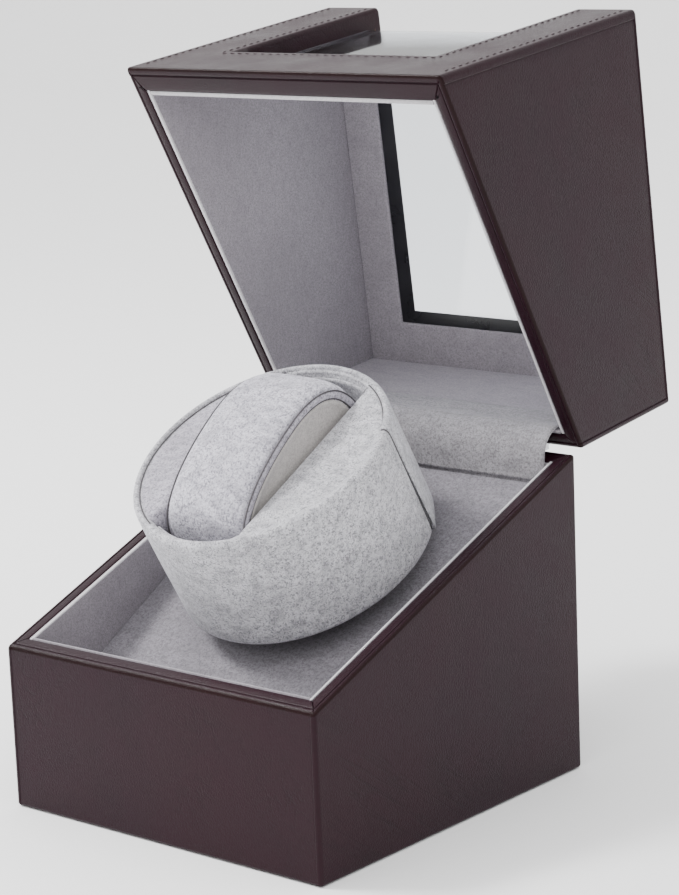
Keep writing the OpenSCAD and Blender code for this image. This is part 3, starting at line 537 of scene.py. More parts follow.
PAD_OUT, PAD_IN = 1.0, 2.4                  # the lid's front wall is padded on both faces
PANE_DEPTH = 3.15                           # from the lid's outside down to the pane
RETURN_Y, RETURN_BEND_Y, RETURN_BEND_Z = 3.98, 3.02, 5.0   # the return's inner edge follows the pane's bend


def ring_path(extra):
    """Points once round the box's plan: (side, u) on a side, or (corner, angle) on a rounded corner."""
    path = []
    near = [CORNER_R, 1.45, 1.62, 1.78, 1.86, 1.94, 2.3, 3.6]
    for side in range(4):
        half = SKIN_X if side % 2 == 0 else SKIN_Y
        us = [s * (half - d) for d in near for s in (-1, 1)]
        us += extra.get(side, []) + [-48.0, -32.0, -16.0, 0.0, 16.0, 32.0, 48.0]
        path += [("side", side, u) for u in sorted(set(round(u, 3) for u in us))]
        path += [("arc", side, a) for a in (15, 30, 45, 60, 75)]
    return path


def ring_point(pt, d, out=0.0):
    """Where that path point lies at inset d: (x, y)."""
    kind, side, val = pt
    r = max(CORNER_R - d, 0.03)
    if kind == "side":
        half, depth = (SKIN_X, SKIN_Y) if side % 2 == 0 else (SKIN_Y, SKIN_X)
        gap = half - abs(val)
        u = math.copysign(half - d - (r + gap - CORNER_R), val) if gap < 7 else val
        t, n = TANGENT[side], OUTWARD[side]
        return t[0] * u + n[0] * (depth - d + out), t[1] * u + n[1] * (depth - d + out)
    n1, n2 = OUTWARD[side], OUTWARD[(side + 1) % 4]
    c, s = polar(1.0, val)
    return ((n1[0] + n2[0]) * (SKIN_X - d - r) + (n1[0] * c + n2[0] * s) * (r + out),
            (n1[1] + n2[1]) * (SKIN_Y - d - r) + (n1[1] * c + n2[1] * s) * (r + out))


def corner_gap(pt):
    """Distance from the nearest corner, and how far the point is turned towards the left or right."""
    kind, side, val = pt
    if kind == "side":
        return (SKIN_X - abs(val), 0.0) if side % 2 == 0 else (SKIN_Y - abs(val), 1.0)
    return 0.0, math.sin(math.radians(val if side % 2 == 0 else 90 - val)) ** 2


def lap(gap, width, rise, groove):
    if gap <= width:
        return rise
    return -groove if gap <= width + 0.2 else 0.0


def base_out(pt):
    """The side leather laps round each upright corner on to the front and the back."""
    gap, sideways = corner_gap(pt)
    return (1 - sideways) * lap(gap, 1.65, BASE_LAP, BASE_GROOVE)


def lid_out(pt, down=0.0):
    """The front, back and top leather lap round their edges on to the lid's two sides."""
    gap, sideways = corner_gap(pt)
    along = lap(gap, 1.80, LID_LAP, LID_GROOVE)
    if along > 0 or down > 0:
        return sideways * LID_LAP
    return -sideways * LID_GROOVE if along < 0 or down < 0 else 0.0


def mitre(pt, d):
    return MITRE if corner_gap(pt)[0] <= CORNER_R + 0.02 and d > 0.9 else 0.0


def leather_row(path, d, out, height):
    """One ring of the leather at inset d: out(p) pushes a point outward, height(p, y) gives its z."""
    return [(*ring_point(p, d, out(p)), height(p, ring_point(p, d)[1])) for p in path]


def rim_rows(path, profile, out, rim):
    return [leather_row(path, d, lambda p: out(p) * max(0.0, 1 - d / FOLD_R),
                        lambda p, y: rim(y, drop + mitre(p, d))) for d, drop in profile]


def build_base_leather():
    path = ring_path({2: [-8.2, 52.2, -16.0, -52.0]})
    rows = [leather_row(path, d, base_out if d < 0.6 else lambda p: 0.0, lambda p, y: z)
            for d, z in ((5.2, 0.4), (1.0, 0.4), (0.45, 0.5), (0.12, 0.85), (0.0, FOOT_Z))]
    fold = FOLD_R / RIM_COS
    for z in (8.0, 11.3, 18.0, 29.0, 40.0, 46.7, 62.0, 80.0, 96.0):
        share = (z - FOOT_Z) / (rim_z(SKIN_Y) - fold - FOOT_Z)
        rows.append(leather_row(path, 0, base_out, lambda p, y: FOOT_Z + share * (rim_z(y) - fold - FOOT_Z)))
    first = len(rows) * len(path)
    rows += rim_rows(path, FOLD + RIM, base_out, rim_z)
    verts = sum(rows, [])

    def opening(c):
        """The holes in the back for the control plate and for the battery tray."""
        plate = 16 < c[0] < 52 and 18 < c[2] < 40
        tray = -52.2 < c[0] < 8.2 and 11.3 < c[2] < 46.7
        return c[1] > SKIN_Y - 0.5 and (plate or tray)

    faces = [f for f in grid_faces(len(rows), len(path), close_cols=True) if not opening(centre(verts, f))]
    # The first three rows of the rim's fold take the darker leather: painted shade along the fold.
    edge = [int(first <= min(f) < first + 3 * len(path)) for f in faces]
    piece("base_leather_wrap", verts, faces, ["leather", "edge"], "base", "leather", ["base_leather"],
          faces_mat=edge, flip=((0, -66, 30), (0, -1, 0)))


def pad_front(v, on_rim):
    """Moves the lid's front wall to where its padding puts it, outside and inside."""
    x, y, z = v
    if y < -INNER_Y:
        wall = SKIN_Y - INNER_Y
        padded = -INNER_Y + PAD_IN + (y + INNER_Y) * (wall + PAD_OUT + PAD_IN) / wall
        if on_rim:
            z += (padded - y) * math.tan(RIM_ANGLE)
        y = padded
    return x, y, z


def window_edge(sx, section, front_low, t, e):
    """A point of the leather turned in round the window, t in from the opening's edge and e below the skin."""
    x = sx * (EDGE_X - t)
    kind, val = section
    low = t if val == front_low else 0
    c, s = polar(1.0, val) if kind == "bend" else (1.0, 0.0)
    if kind == "top":
        return x, val - (t if val == EDGE_Y else 0), CLOSED_H - e
    if e == PANE_DEPTH:
        z = CLOSED_H - PANE_DEPTH - RETURN_BEND_Z * (1 - s)
        return x, -SKIN_Y + RETURN_Y + RETURN_BEND_Y * (1 - c), z if kind == "bend" else min(z, val + low)
    if kind == "front":
        return x, -SKIN_Y + e, val + low
    r = max(TOP_FOLD_R - e, 0.03)
    return x, -SKIN_Y + e + r - r * c, CLOSED_H - e - r + r * s


def build_lid_leather():
    path = ring_path({0: [-EDGE_X, EDGE_X]})
    n = len(path)
    rows = rim_rows(path, RIM[::-1] + FOLD[::-1], lid_out, lid_rim_z)
    rim_count, bar_row = len(rows) * n, len(rows) + 2
    z_top, low = CLOSED_H - TOP_FOLD_R, lid_rim_z(-SKIN_Y, FOLD_R)
    for z in (62.0, 72.0, EDGE_Z, 90.0, 105.0, 120.0, 135.0, 148.0):
        share = (z - low) / (z_top - low)
        rows.append(leather_row(path, 0, lid_out,
                                lambda p, y: lid_rim_z(y, FOLD_R) + share * (z_top - lid_rim_z(y, FOLD_R))))
    for z, down in ((155.85, 0.0), (155.93, -LID_GROOVE), (156.12, -LID_GROOVE), (156.2, LID_LAP)):
        rows.append(leather_row(path, 0, lambda p: lid_out(p, down), lambda p, y: z))
    walls_end = len(rows)
    for a in QUARTER:
        c, s = polar(1.0, a)
        rows.append(leather_row(path, TOP_FOLD_R * (1 - c), lambda p: lid_out(p, LID_LAP) * (1 - a / 90),
                                lambda p, y: CLOSED_H - TOP_FOLD_R * (1 - s)))
    verts = sum(rows, [])

    def over_window(p):
        return p[:2] == ("side", 0) and abs(p[2]) <= EDGE_X

    faces = []
    for f in grid_faces(len(rows), n, close_cols=True):
        if not (f[0] // n >= bar_row and over_window(path[f[0] % n]) and over_window(path[f[1] % n])):
            faces.append(f)
    start, end = path.index(("side", 0, EDGE_X)), path.index(("side", 0, -EDGE_X))
    top = [(len(rows) - 1) * n + (start + k) % n for k in range((end - start) % n + 1)]
    faces.append((*top, len(verts), len(verts) + 1))
    verts += [(-EDGE_X, EDGE_Y, CLOSED_H), (EDGE_X, EDGE_Y, CLOSED_H)]

    # Round the window: the loop of its edge, then a rounded fold and a flat return
    column = [("front", rows[i][start][2]) for i in range(bar_row, walls_end)] + [("bend", a) for a in QUARTER]
    column += [("top", y) for y in (-40.0, -10.0, 20.0, EDGE_Y)]
    loop = [(1, s) for s in column] + [(-1, s) for s in column[::-1]]
    steps = [(math.sin(a), 1 - math.cos(a)) for a in np.radians(QUARTER)] + [(1.0, PANE_DEPTH)]
    faces += [tuple(len(verts) + i for i in f) for f in grid_faces(len(steps), len(loop), close_cols=True)]
    verts += [window_edge(sx, section, column[0][1], t, e) for t, e in steps for sx, section in loop]
    # The rows of the rim's fold take the darker leather: painted shade along the fold.
    edge = [int((len(RIM) + 1) * n <= min(f) < (len(RIM) + 4) * n and max(f) < rim_count) for f in faces]
    verts = [pad_front(v, i < rim_count) for i, v in enumerate(verts)]
    piece("lid_leather_wrap", verts, faces, ["leather", "edge"], "lid", "leather", ["lid_leather"],
          place=in_lid, faces_mat=edge, weld=0.02, flip=((54, -66, 120), (0, -1, 0)))


def build_stitches():
    """Two rows round the window, one close to its edge, and one near the outer edge of each strip."""
    parts = []

    def row(a, b, out):
        a, b = np.array(a, float), np.array(b, float)
        count = int(np.linalg.norm(b - a) / PITCH)
        parts.extend(stitch(a + (b - a) * (k + 0.5) / count, b - a, out) for k in range(count))

    front, top, high, low = -SKIN_Y - PAD_OUT, CLOSED_H, CLOSED_H - 2.5, WIN_Z - 3.0
    edge, back, border = WIN_X + 3.0, WIN_Y + 3.0, SKIN_X - 3.2
    ahead, up = (0, -1, 0), (0, 0, 1)
    row((-edge, front, low), (edge, front, low), ahead)
    for sx in (-1, 1):
        row((sx * edge, front, low), (sx * edge, front, high), ahead)
        row((sx * edge, front + 2.5, top), (sx * edge, back, top), up)
        row((sx * border, front, 60.0), (sx * border, front, high), ahead)
        row((sx * border, front + 2.5, top), (sx * border, SKIN_Y - 3.0, top), up)
    row((-edge, back, top), (edge, back, top), up)
    piece("lid_stitching", *join_meshes(parts), "thread", "lid", "leather", place=in_lid, weighted=False)


# ------------------------------------------------------------------ lining cards
def lining(name, outline, to_space, body, replaces=(), mats="lining", thick=CARD, round_r=0.5, on_edge=None):
    """One card; on_edge(centre) picks the faces along the rim that take paler suede, a painted highlight on the
    card's top edge.
    """
    verts, faces = card(outline, to_space, thick, round_r)
    highlit = [int(on_edge(centre(verts, f))) for f in faces] if on_edge else None
    piece(name, verts, faces, ["lining", "lining_edge_highlight"] if on_edge else mats, body, "lining_suede", replaces,
          place=in_lid if body == "lid" else None, faces_mat=highlit)


def build_linings():
    drop, under = 0.2, 1.5                  # below the rim, and below the deck's face
    x, back, front = LINER_X - 0.02, LINER_Y, -LINER_Y

    # base_edge and lid_edge pick the faces near the rim that get the painted highlight.
    def base_edge(c):
        return c[2] > rim_z(c[1], 0.85)

    def lid_edge(c):
        return c[2] < lid_rim_z(c[1], 0.85)

    for sx, tag in ((1, "right"), (-1, "left")):
        def side_wall(u, w, d):
            return sx * (LINER_X + d), u, w

        lining(f"base_{tag}_lining", [(-INNER_Y, deck_z(-INNER_Y) - under), (INNER_Y, deck_z(INNER_Y) - under),
                                      (INNER_Y, rim_z(INNER_Y, drop)), (-INNER_Y, rim_z(-INNER_Y, drop))],
               side_wall, "base", ["base_side_liners"] if sx == 1 else [], on_edge=base_edge)
        lining(f"lid_{tag}_lining", [(-INNER_Y, lid_rim_z(-INNER_Y, drop)), (INNER_Y, lid_rim_z(INNER_Y, drop)),
                                     (INNER_Y, INNER_TOP), (-INNER_Y, INNER_TOP)],
               side_wall, "lid", ["lid_side_liners"] if sx == 1 else [], on_edge=lid_edge)

    def across(low, high):
        return [(-x, low), (x, low), (x, high), (-x, high)]

    lining("base_front_lining", across(deck_z(front) - under, rim_z(front - 0.6, drop)),
           lambda u, w, d: (u, front - d, w), "base", ["base_front_liner"])
    lining("base_back_lining", across(deck_z(back) - under, rim_z(back, drop)),
           lambda u, w, d: (u, back + d, w), "base", ["base_back_liner"], mats="bridge")
    padded = front + PAD_IN
    hole = [(EDGE_X, INNER_TOP), (EDGE_X, EDGE_Z), (-EDGE_X, EDGE_Z), (-EDGE_X, INNER_TOP)]
    outline = across(lid_rim_z(padded - 0.6, drop), INNER_TOP)
    lining("lid_front_lining", outline[:3] + hole + outline[3:], lambda u, w, d: (u, padded - d, w), "lid",
           ["lid_front_liner"], thick=CARD + PAD_IN, round_r=0.9, on_edge=lid_edge)
    end = INNER_Y - 0.02
    lining("lid_top_lining", [(x, padded), (x, end), (-x, end), (-x, padded), (-EDGE_X, padded),
                              (-EDGE_X, EDGE_Y), (EDGE_X, EDGE_Y), (EDGE_X, padded)],
           lambda u, w, d: (u, w, LINER_TOP + d), "lid", ["lid_top_liner"], round_r=0.8)
    lining("lid_back_lining", across(lid_rim_z(back, drop), LINER_TOP - 0.02),
           lambda u, w, d: (u, back + d, w), "lid", ["lid_back_liner"], round_r=0.45)


def build_deck():
    """The deck's suede, drawn round its board's edges, with the hole that the drive's nose comes through."""
    half_x = LINER_X - 0.05
    low, high = [(y - AXIS_Y) / math.cos(DECK_SLOPE) for y in (-(LINER_Y - 0.05), LINER_Y - 0.05)]
    count, hole = 96, 8.2
    angles = [2 * math.pi * k / count for k in range(count)]
    for x, y in ((half_x, high), (-half_x, high), (-half_x, low), (half_x, low)):
        corner = math.atan2(y, x) % (2 * math.pi)
        angles[min(range(count), key=lambda i: abs(angles[i] - corner))] = corner

    def square(a, inset):
        c, s = math.cos(a), math.sin(a)
        t = (half_x - inset) / abs(c) if abs(c) > 1e-9 else 1e9
        if abs(s) > 1e-9:
            t = min(t, (high - inset) / s if s > 0 else (low + inset) / s)
        return c * t, s * t

    verts = []
    for inset, z in ((0.5, -0.8), (0.0, -0.45), (0.06, -0.22), (0.2, -0.06), (0.45, 0.0)):
        verts += [(*square(a, inset), z) for a in angles]
    for share in (0.75, 0.5, 0.28):
        for a in angles:
            x, y = square(a, 0.45)
            verts.append((x * share + hole * math.cos(a) * (1 - share),
                          y * share + hole * math.sin(a) * (1 - share), 0.0))
    for r, z in ((hole + 0.3, 0.0), (hole, -0.1), (hole - 0.15, -0.35), (hole - 0.15, -0.8)):
        verts += [(r * math.cos(a), r * math.sin(a), z) for a in angles]
    piece("deck_suede_cover", verts, grid_faces(12, count, close_cols=True), "deck", "base", "lining_suede",
          ["deck_suede"], place=on_deck, flip=((40, 20, 0), (0, 0, 1)))


def build_hinge_cloth():
    """Suede strip glued to both back linings, which bridges the hinge line as a soft bulge round the pins."""
    path = [(59.25, 97.2), (59.2, 99.5), (59.15, 102.0), (59.1, 104.3)]
    for r, a in ((9.1, 168), (9.3, 156), (9.45, 144), (9.55, 132), (9.6, 121), (9.6, 111), (9.6, 103), (9.65, 98)):
        path.append(np.add((PIN_Y, PIN_Z), polar(r, a)))
    path += [in_lid([(0, LINER_Y - 0.22, z)])[0][1:] for z in (108.6, 110.6, 113.0, 115.5, 118.0)]
    line = catmull(path, 3)
    out = line_normals(line)
    xs = np.linspace(-57.9, 57.9, 60)
    rng = np.random.default_rng(5)
    wave = np.interp(xs, np.linspace(-58, 58, 24), rng.normal(0, 0.16, 24))
    length = np.concatenate([[0], np.cumsum(np.linalg.norm(np.diff(line, axis=0), axis=1))])
    slack = np.exp(-((length - 14.0) / 5.0) ** 2)
    verts = [(x, *(p + q * (w * s + thick))) for thick in (0.5, 0.0)
             for p, q, s in zip(line, out, slack) for x, w in zip(xs, wave)]
    o = piece("hinge_bridge_cloth", verts, two_skins(len(line), len(xs)), "bridge", None, "lining_suede",
              ["hinge_cloth"], weighted=False)
    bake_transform(o)


def build_window():
    """The bent pane and the black border printed round its inner face."""
    over, bend, thick = 4.8, 3.0, 2.0       # under the leather on every side, and the pane's own sizes
    front, top = -INNER_Y + PAD_IN, INNER_TOP
    bent = [(front + bend - bend * math.cos(a), top - bend + bend * math.sin(a))
            for a in np.radians((15, 30, 45, 60, 75))]
    bent = [(front, top - bend), *bent, (front + bend, top)]
    line = np.array([(front, WIN_Z - over), *bent, (WIN_Y + over, top)])
    x = WIN_X + over
    profile = [(0.15, 0.0), (0.0, 0.15), (0.0, thick - 0.15), (0.15, thick)]
    ring = [(x - e, d) for e, d in profile] + [(-x + e, d) for e, d in profile[::-1]]
    verts = [(u, *(p + q * d)) for p, q in zip(line, line_normals(line, 2)) for u, d in ring]
    piece("window_pane_bent", verts, stack_faces(len(line), len(ring)), "pane", "lid", "clear_acrylic",
          ["window_pane"], place=in_lid)

    low, end, wide = WIN_Z - 0.9, WIN_Y + 0.9, 4.5
    line = np.array([(front, low), (front, low + wide), *bent, (end - wide, top), (end, top)])
    out, n = line_normals(line, 3), len(line)
    cols = [-WIN_X - 0.9, 5.0 - WIN_X, WIN_X - 5.0, WIN_X + 0.9]
    verts = [(c, *(p - q * depth)) for depth in (0.05, 0.40) for p, q in zip(line, out) for c in cols]
    print_faces = [f for f in grid_faces(n, 4) if f[0] % 4 != 1 or not 4 < f[0] < (n - 2) * 4]
    hole = [5, 6] + [i * 4 + 2 for i in range(2, n - 1)] + [i * 4 + 1 for i in range(n - 2, 1, -1)]
    faces = print_faces + [tuple(n * 4 + i for i in f) for f in print_faces]
    faces += walls(rim_loop(n, 4), n * 4) + walls(hole, n * 4)
    piece("window_border_print", verts, faces, "border", "lid", "border_black", ["window_border"], place=in_lid)


# ------------------------------------------------------------------ cup
RIM_ROLL = [(43.75, -2.7), (43.62, -1.3), (43.32, -0.5), (42.95, 0.0), (42.5, 0.2), (42.05, 0.1), (41.7, -0.2),
            (41.5, -0.6), (41.4, -0.92), (41.0, -1.0), (40.6, -1.02), (40.45, -1.6), (40.3, -2.2), (39.9, -2.6)]
WALL_ROWS = [14, 18, 22, 26, 30, 34, 38, 42, 46]
PAD_EDGE_R = 41.25                          # where a pad's cover meets the rim's roll
# The first number is the radius of the dark cords laid in the seam gaps as painted shade.
SHADE_CORD_R, SEAM_SLANT = 0.26, 0.9         # the upright seam leans by that many degrees on its way down


def way_down(z):
    """0 at the rim and 1 near the foot of the wall."""
    return min(1.0, max(0.0, (RIM_TOP - z) / 40))


def build_cup_cover():
    """Suede round the bowl; its free end laps over the front piece at the upright seam."""
    prof = [(30.0, CUP_UNDER + 0.6), (30.0, CUP_UNDER), (42.0, CUP_UNDER), (42.8, CUP_UNDER + 0.2),
            (43.5, CUP_UNDER + 0.8), (CUP_R, CUP_UNDER + 1.7)]
    prof += [(CUP_R, z) for z in WALL_ROWS] + [(r, RIM_TOP + z) for r, z in RIM_ROLL]
    prof += [(BOWL_R, z) for z in (44, 36, 26, FLOOR_Z)]
    count, verts = 168, []
    for r, z in prof:
        for k in range(count):
            a = 2 * math.pi * k / count
            wave = 0.10 * math.sin(3 * a + 0.7) * math.sin((z - 9) / 9.0) + 0.05 * math.sin(11 * a + z / 6.0)
            w = wave if r >= 43 and z >= CUP_UNDER + 1 else 0.0
            verts.append(((r + w) * math.cos(a), (r + w) * math.sin(a), z))
    parts = [(verts, grid_faces(len(prof), count, close_cols=True))]

    # The lapping end: a band of suede that stands off the wall at its free edge
    line = np.array([(41.5, -0.6)] + RIM_ROLL[6::-1] + [(CUP_R, z - RIM_TOP) for z in WALL_ROWS[::-1]]
                    + [(43.75, -40.9)])
    line[:, 1] += RIM_TOP
    out = line_normals(line)
    angles = SEAM_ANGLE + 24 * np.linspace(0, 1, 22) ** 1.3
    verts = []
    for depth in (0.0, 0.48):
        for i, a in enumerate(angles):
            share = (1 - i / (len(angles) - 1)) ** 2
            edge = 0.14 if i == 0 and depth == 0.0 else 0.0
            for p, q in zip(line, out):
                low = way_down(p[1])
                r, z = p + q * ((0.78 + 0.85 * low ** 1.4) * share - 0.03 - depth - edge)
                verts.append((*polar(r, a - SEAM_SLANT * low), z))
    parts.append((verts, two_skins(len(angles), len(line))))
    verts, faces = join_meshes(parts)
    # Faces within 0.9 mm of the underside take the dark grey: painted shade under the cup.
    under = [int(max(verts[i][2] for i in f) < CUP_UNDER + 0.9) for f in faces]
    cup_piece("cup_suede_wrap", verts, faces, ["cup", "seam"], replaces=["cup_cover"], faces_mat=under,
              flip=((0, -CUP_R, 30), (0, -1, 0)))
    # Dark cords where the pads meet the rim's roll, and along the foot of the lapping end's free edge: painted
    # shade in those gaps.
    arcs = [tube([(*polar(PAD_EDGE_R, a), RIM_TOP - 0.82) for a in np.linspace(first, last, 60)], 0.24, 6)
            for first, last in ((SEAM_ANGLE + 1, 64.5), (116.0, 244.5))]
    foot = [(*polar(p[0] + q[0] * 0.22, SEAM_ANGLE - 0.22 - SEAM_SLANT * way_down(p[1])), p[1] + q[1] * 0.22)
            for p, q in zip(line[2:], out[2:])]
    cup_piece("pad_edge_shade_cord", *join_meshes(arcs + [tube(foot, SHADE_CORD_R, 6)]), "seam")


def build_bowl_lining():
    """Lining strip inside the bowl at both ends of the slot, and a disc on the bowl's floor."""
    prof = [(39.85, 16.0), (39.1, 16.0), (39.05, 40.0), (39.0, RIM_TOP - 4.0), (39.1, RIM_TOP - 3.2),
            (39.4, RIM_TOP - 2.7), (39.75, RIM_TOP - 2.75), (39.88, RIM_TOP - 3.2)]
    parts = []
    for mid in (90, -90):
        verts = [(*polar(r, a), z) for a in np.linspace(mid - 24.0, mid + 24.0, 33) for r, z in prof]
        parts.append((verts, stack_faces(33, len(prof))))
    edge = [(s * x, s * math.sqrt(39.8 ** 2 - x * x)) for s in (1, -1) for x in np.linspace(-17.4, 17.4, 21)]
    parts.append(([(*p, FLOOR_Z + h) for h in (-0.2, 0.12) for p in edge], stack_faces(2, len(edge))))
    piece("bowl_lining", *join_meshes(parts), "cup", "cup", "cup_suede", place=in_cup)


def build_right_pad():
    """The right half-moon, whose suede runs on over the rim and down the wall as far as the upright seam."""
    x0, r_in, r_rim, r_close = SLOT_HALF + 0.05, 38.4, 41.5, 41.0
    a_back = math.degrees(math.acos(x0 / r_in))
    a_tip, a_left = -a_back, -112
    top, y_end = RIM_TOP - 1.0, r_in * math.sin(math.radians(a_back))
    angles = sorted(set(round(a, 2) for a in (*np.linspace(a_tip, SEAM_ANGLE, 44),
                                              *np.linspace(SEAM_ANGLE, a_back, 20))))
    seam_row = min(range(len(angles)), key=lambda i: abs(angles[i] - SEAM_ANGLE))
    shares = [0.0, 0.012, 0.03, 0.06, 0.12, 0.22, 0.34, 0.46, 0.58, 0.70, 0.80, 0.89, 0.95, 1.0]
    verts = []
    for a in angles:
        edge = np.array([x0, -y_end + 2 * y_end * (a - a_tip) / (a_back - a_tip)])
        rim = np.array(polar(r_in, a))
        width = np.linalg.norm(rim - edge)
        verts += [(*edge, FLOOR_Z + 1), (*edge, top - 1.3)]
        for s in shares:
            drop = 0.8 * max(0.0, 1 - s * width / 0.9) ** 2
            crown = 0.40 * math.sin(math.pi * min(1.0, s * 0.95)) * min(1.0, width / 12)
            verts.append((*(edge + (rim - edge) * s), top - drop + crown + 0.05 * s))
    cols = len(shares) + 2
    faces = grid_faces(len(angles), cols)

    # Over the rim and down the wall, in front of the seam; it thins out to the left, where the rim carries on
    wrap = [(39.4, -0.82), (40.1, -0.6), (40.8, -0.3), (41.5, 0.04), (42.1, 0.28), (42.65, 0.26), (43.1, -0.02),
            (43.5, -0.5), (43.78, -1.2), (43.92, -2.2), (43.96, -3.5), (43.98, -7.0), (44.0, -12.0),
            (44.0, -18.0), (44.0, -25.0), (44.0, -32.0), (43.98, -38.6), (43.8, -41.3), (43.2, -42.45),
            (42.3, -42.85), (40.5, -42.85)]
    left = [round(a, 2) for a in np.linspace(a_left, a_tip, 26)[:-1]]
    rows = left + angles[:seam_row + 1] + [SEAM_ANGLE + 1.2]
    start, m, shift = len(verts), len(wrap), len(left)
    for a in rows:
        sink = 0.22 * (1 - smoothstep(min(1.0, max(0.0, (a - a_left) / 55.0))))
        for r, z in wrap:
            if r < r_rim:
                x, y = polar(r, a)
                x = max(x, x0 if a < a_tip else 0.0)
                if math.hypot(x, y) > r_rim or a < -66:
                    x, y, z = *polar(r_rim, a), -0.62
            else:
                x, y = polar(r - sink * (1 if r > 42.6 else 0.2), a)
                z -= sink if r < 43.6 and z > -1 else 0.0
            verts.append((x, y, RIM_TOP + z))
    faces += [tuple(start + i for i in f) for f in grid_faces(len(rows), m)]
    for i in range(seam_row):
        near, ahead = start + (i + shift) * m, i * cols + cols - 1
        faces.append((ahead, near, near + m, ahead + cols))
    skirt = len(verts)
    verts += [(*verts[start + i * m][:2], RIM_TOP - 9.0) for i in range(shift + 1)]
    faces += [(start + i * m, start + (i + 1) * m, skirt + i + 1, skirt + i) for i in range(shift)]

    # Behind the seam the pad ends inside the rim
    close = [(39.3, 0.06), (39.9, 0.16), (40.4, 0.16), (40.75, 0.04), (40.98, -0.15), (r_close, -0.5), (40.3, -0.9)]
    first, k = len(verts), len(close)
    for a in angles[seam_row:]:
        for r, z in close:
            x, y = polar(r, a)
            verts.append((max(x, x0), y, top + 0.05 + z))
    faces += [tuple(first + i for i in f) for f in grid_faces(len(angles) - seam_row, k)]
    for i in range(len(angles) - 1 - seam_row):
        ahead = (i + seam_row) * cols + cols - 1
        faces.append((ahead, first + i * k, first + (i + 1) * k, ahead + cols))

    # The back tip's last sliver, out to the bowl's wall
    tip_y = math.sqrt(r_close ** 2 - x0 ** 2)
    faces.append(tuple(range(len(verts), len(verts) + 5)))
    verts += [(x0, y_end, top), (x0, y_end, FLOOR_Z + 1), (x0, tip_y, FLOOR_Z + 1), (x0, tip_y, top - 0.5),
              (x0 + 0.02, tip_y - 0.6, top)]
    o = cup_piece("right_pad_cover", verts, faces, "cup", replaces=["right_pad"], weld=0.01,
                  flip=((30, 0, RIM_TOP - 0.8), (0, 0, 1)))


SWELL_FRAMES = 20


def swell(o, voxel, pressure, cap, pin=None):
    """Swells a closed mesh like stuffed cloth: remesh, 20 frames of pressure, the movement capped, then applied."""
    for other in bpy.context.selected_objects:
        other.select_set(False)
    bpy.context.view_layer.objects.active = o
    o.select_set(True)
    o.data.remesh_voxel_size = voxel * MM
    bpy.ops.object.voxel_remesh()
    rest = get_points(o)
    if pin:
        o.vertex_groups.new(name="held").add([i for i, v in enumerate(rest) if pin(v / MM)], 1.0, "REPLACE")
    cloth = o.modifiers.new("swell", "CLOTH")
    s = cloth.settings
    s.quality = 5
    s.mass = 0.3
    s.tension_stiffness = s.compression_stiffness = s.shear_stiffness = 15
    s.bending_stiffness = 0.5
    s.use_pressure = True
    s.uniform_pressure_force = pressure
    s.effector_weights.gravity = 0
    if pin:
        s.vertex_group_mass = "held"
    cloth.collision_settings.use_collision = False
    cloth.point_cache.frame_start, cloth.point_cache.frame_end = 1, SWELL_FRAMES
    for f in range(1, SWELL_FRAMES + 1):
        bpy.context.scene.frame_set(f)
    seen = o.evaluated_get(bpy.context.evaluated_depsgraph_get())
    step = np.array([v.co for v in seen.to_mesh().vertices], float) - rest
    seen.to_mesh_clear()
    o.modifiers.remove(cloth)
    bpy.context.scene.frame_set(1)
    size = np.linalg.norm(step, axis=1)[:, None]
    set_points(o, rest + step * np.minimum(1.0, cap * MM / np.maximum(size, 1e-12)))
    ease = o.modifiers.new("ease", "SMOOTH")
    ease.factor, ease.iterations = 0.5, 3
    finer = o.modifiers.new("finer", "SUBSURF")
    finer.levels = finer.render_levels = 1
    for name in ("ease", "finer"):
        bpy.ops.object.modifier_apply(modifier=name)
    o.data.shade_smooth()


def finish_swollen(o, points, body, stands_for):
    """Puts a swollen piece, drawn in the cup's own millimetres, where it belongs."""
    set_points(o, in_cup(points) * MM)
    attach(o, body)
    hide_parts(stands_for)


PILLOW_BASE = 51.0
PILLOW_LINE = [(-13, -38.4), (-23, -37.6), (-30.3, -32.5), (-33.6, -24), (-34.4, -15), (-33.8, -7), (-31.5, -1.2),
               (-27.2, 3.0), (-20.2, 7.0), (-11, 10.3), (-1, 12.6), (7.5, 13.7), (14.5, 13.4), (20.8, 11.7),
               (26.3, 8.0), (30.0, 2.4), (32.0, -5), (32.6, -14), (31.8, -23), (29, -31), (22.5, -37), (12, -38.4)]
BAND_THICK, BAND_MIDDLE, BAND_HALF, BAND_CROWN = 4.9, 2.5, 16.4, 2.7


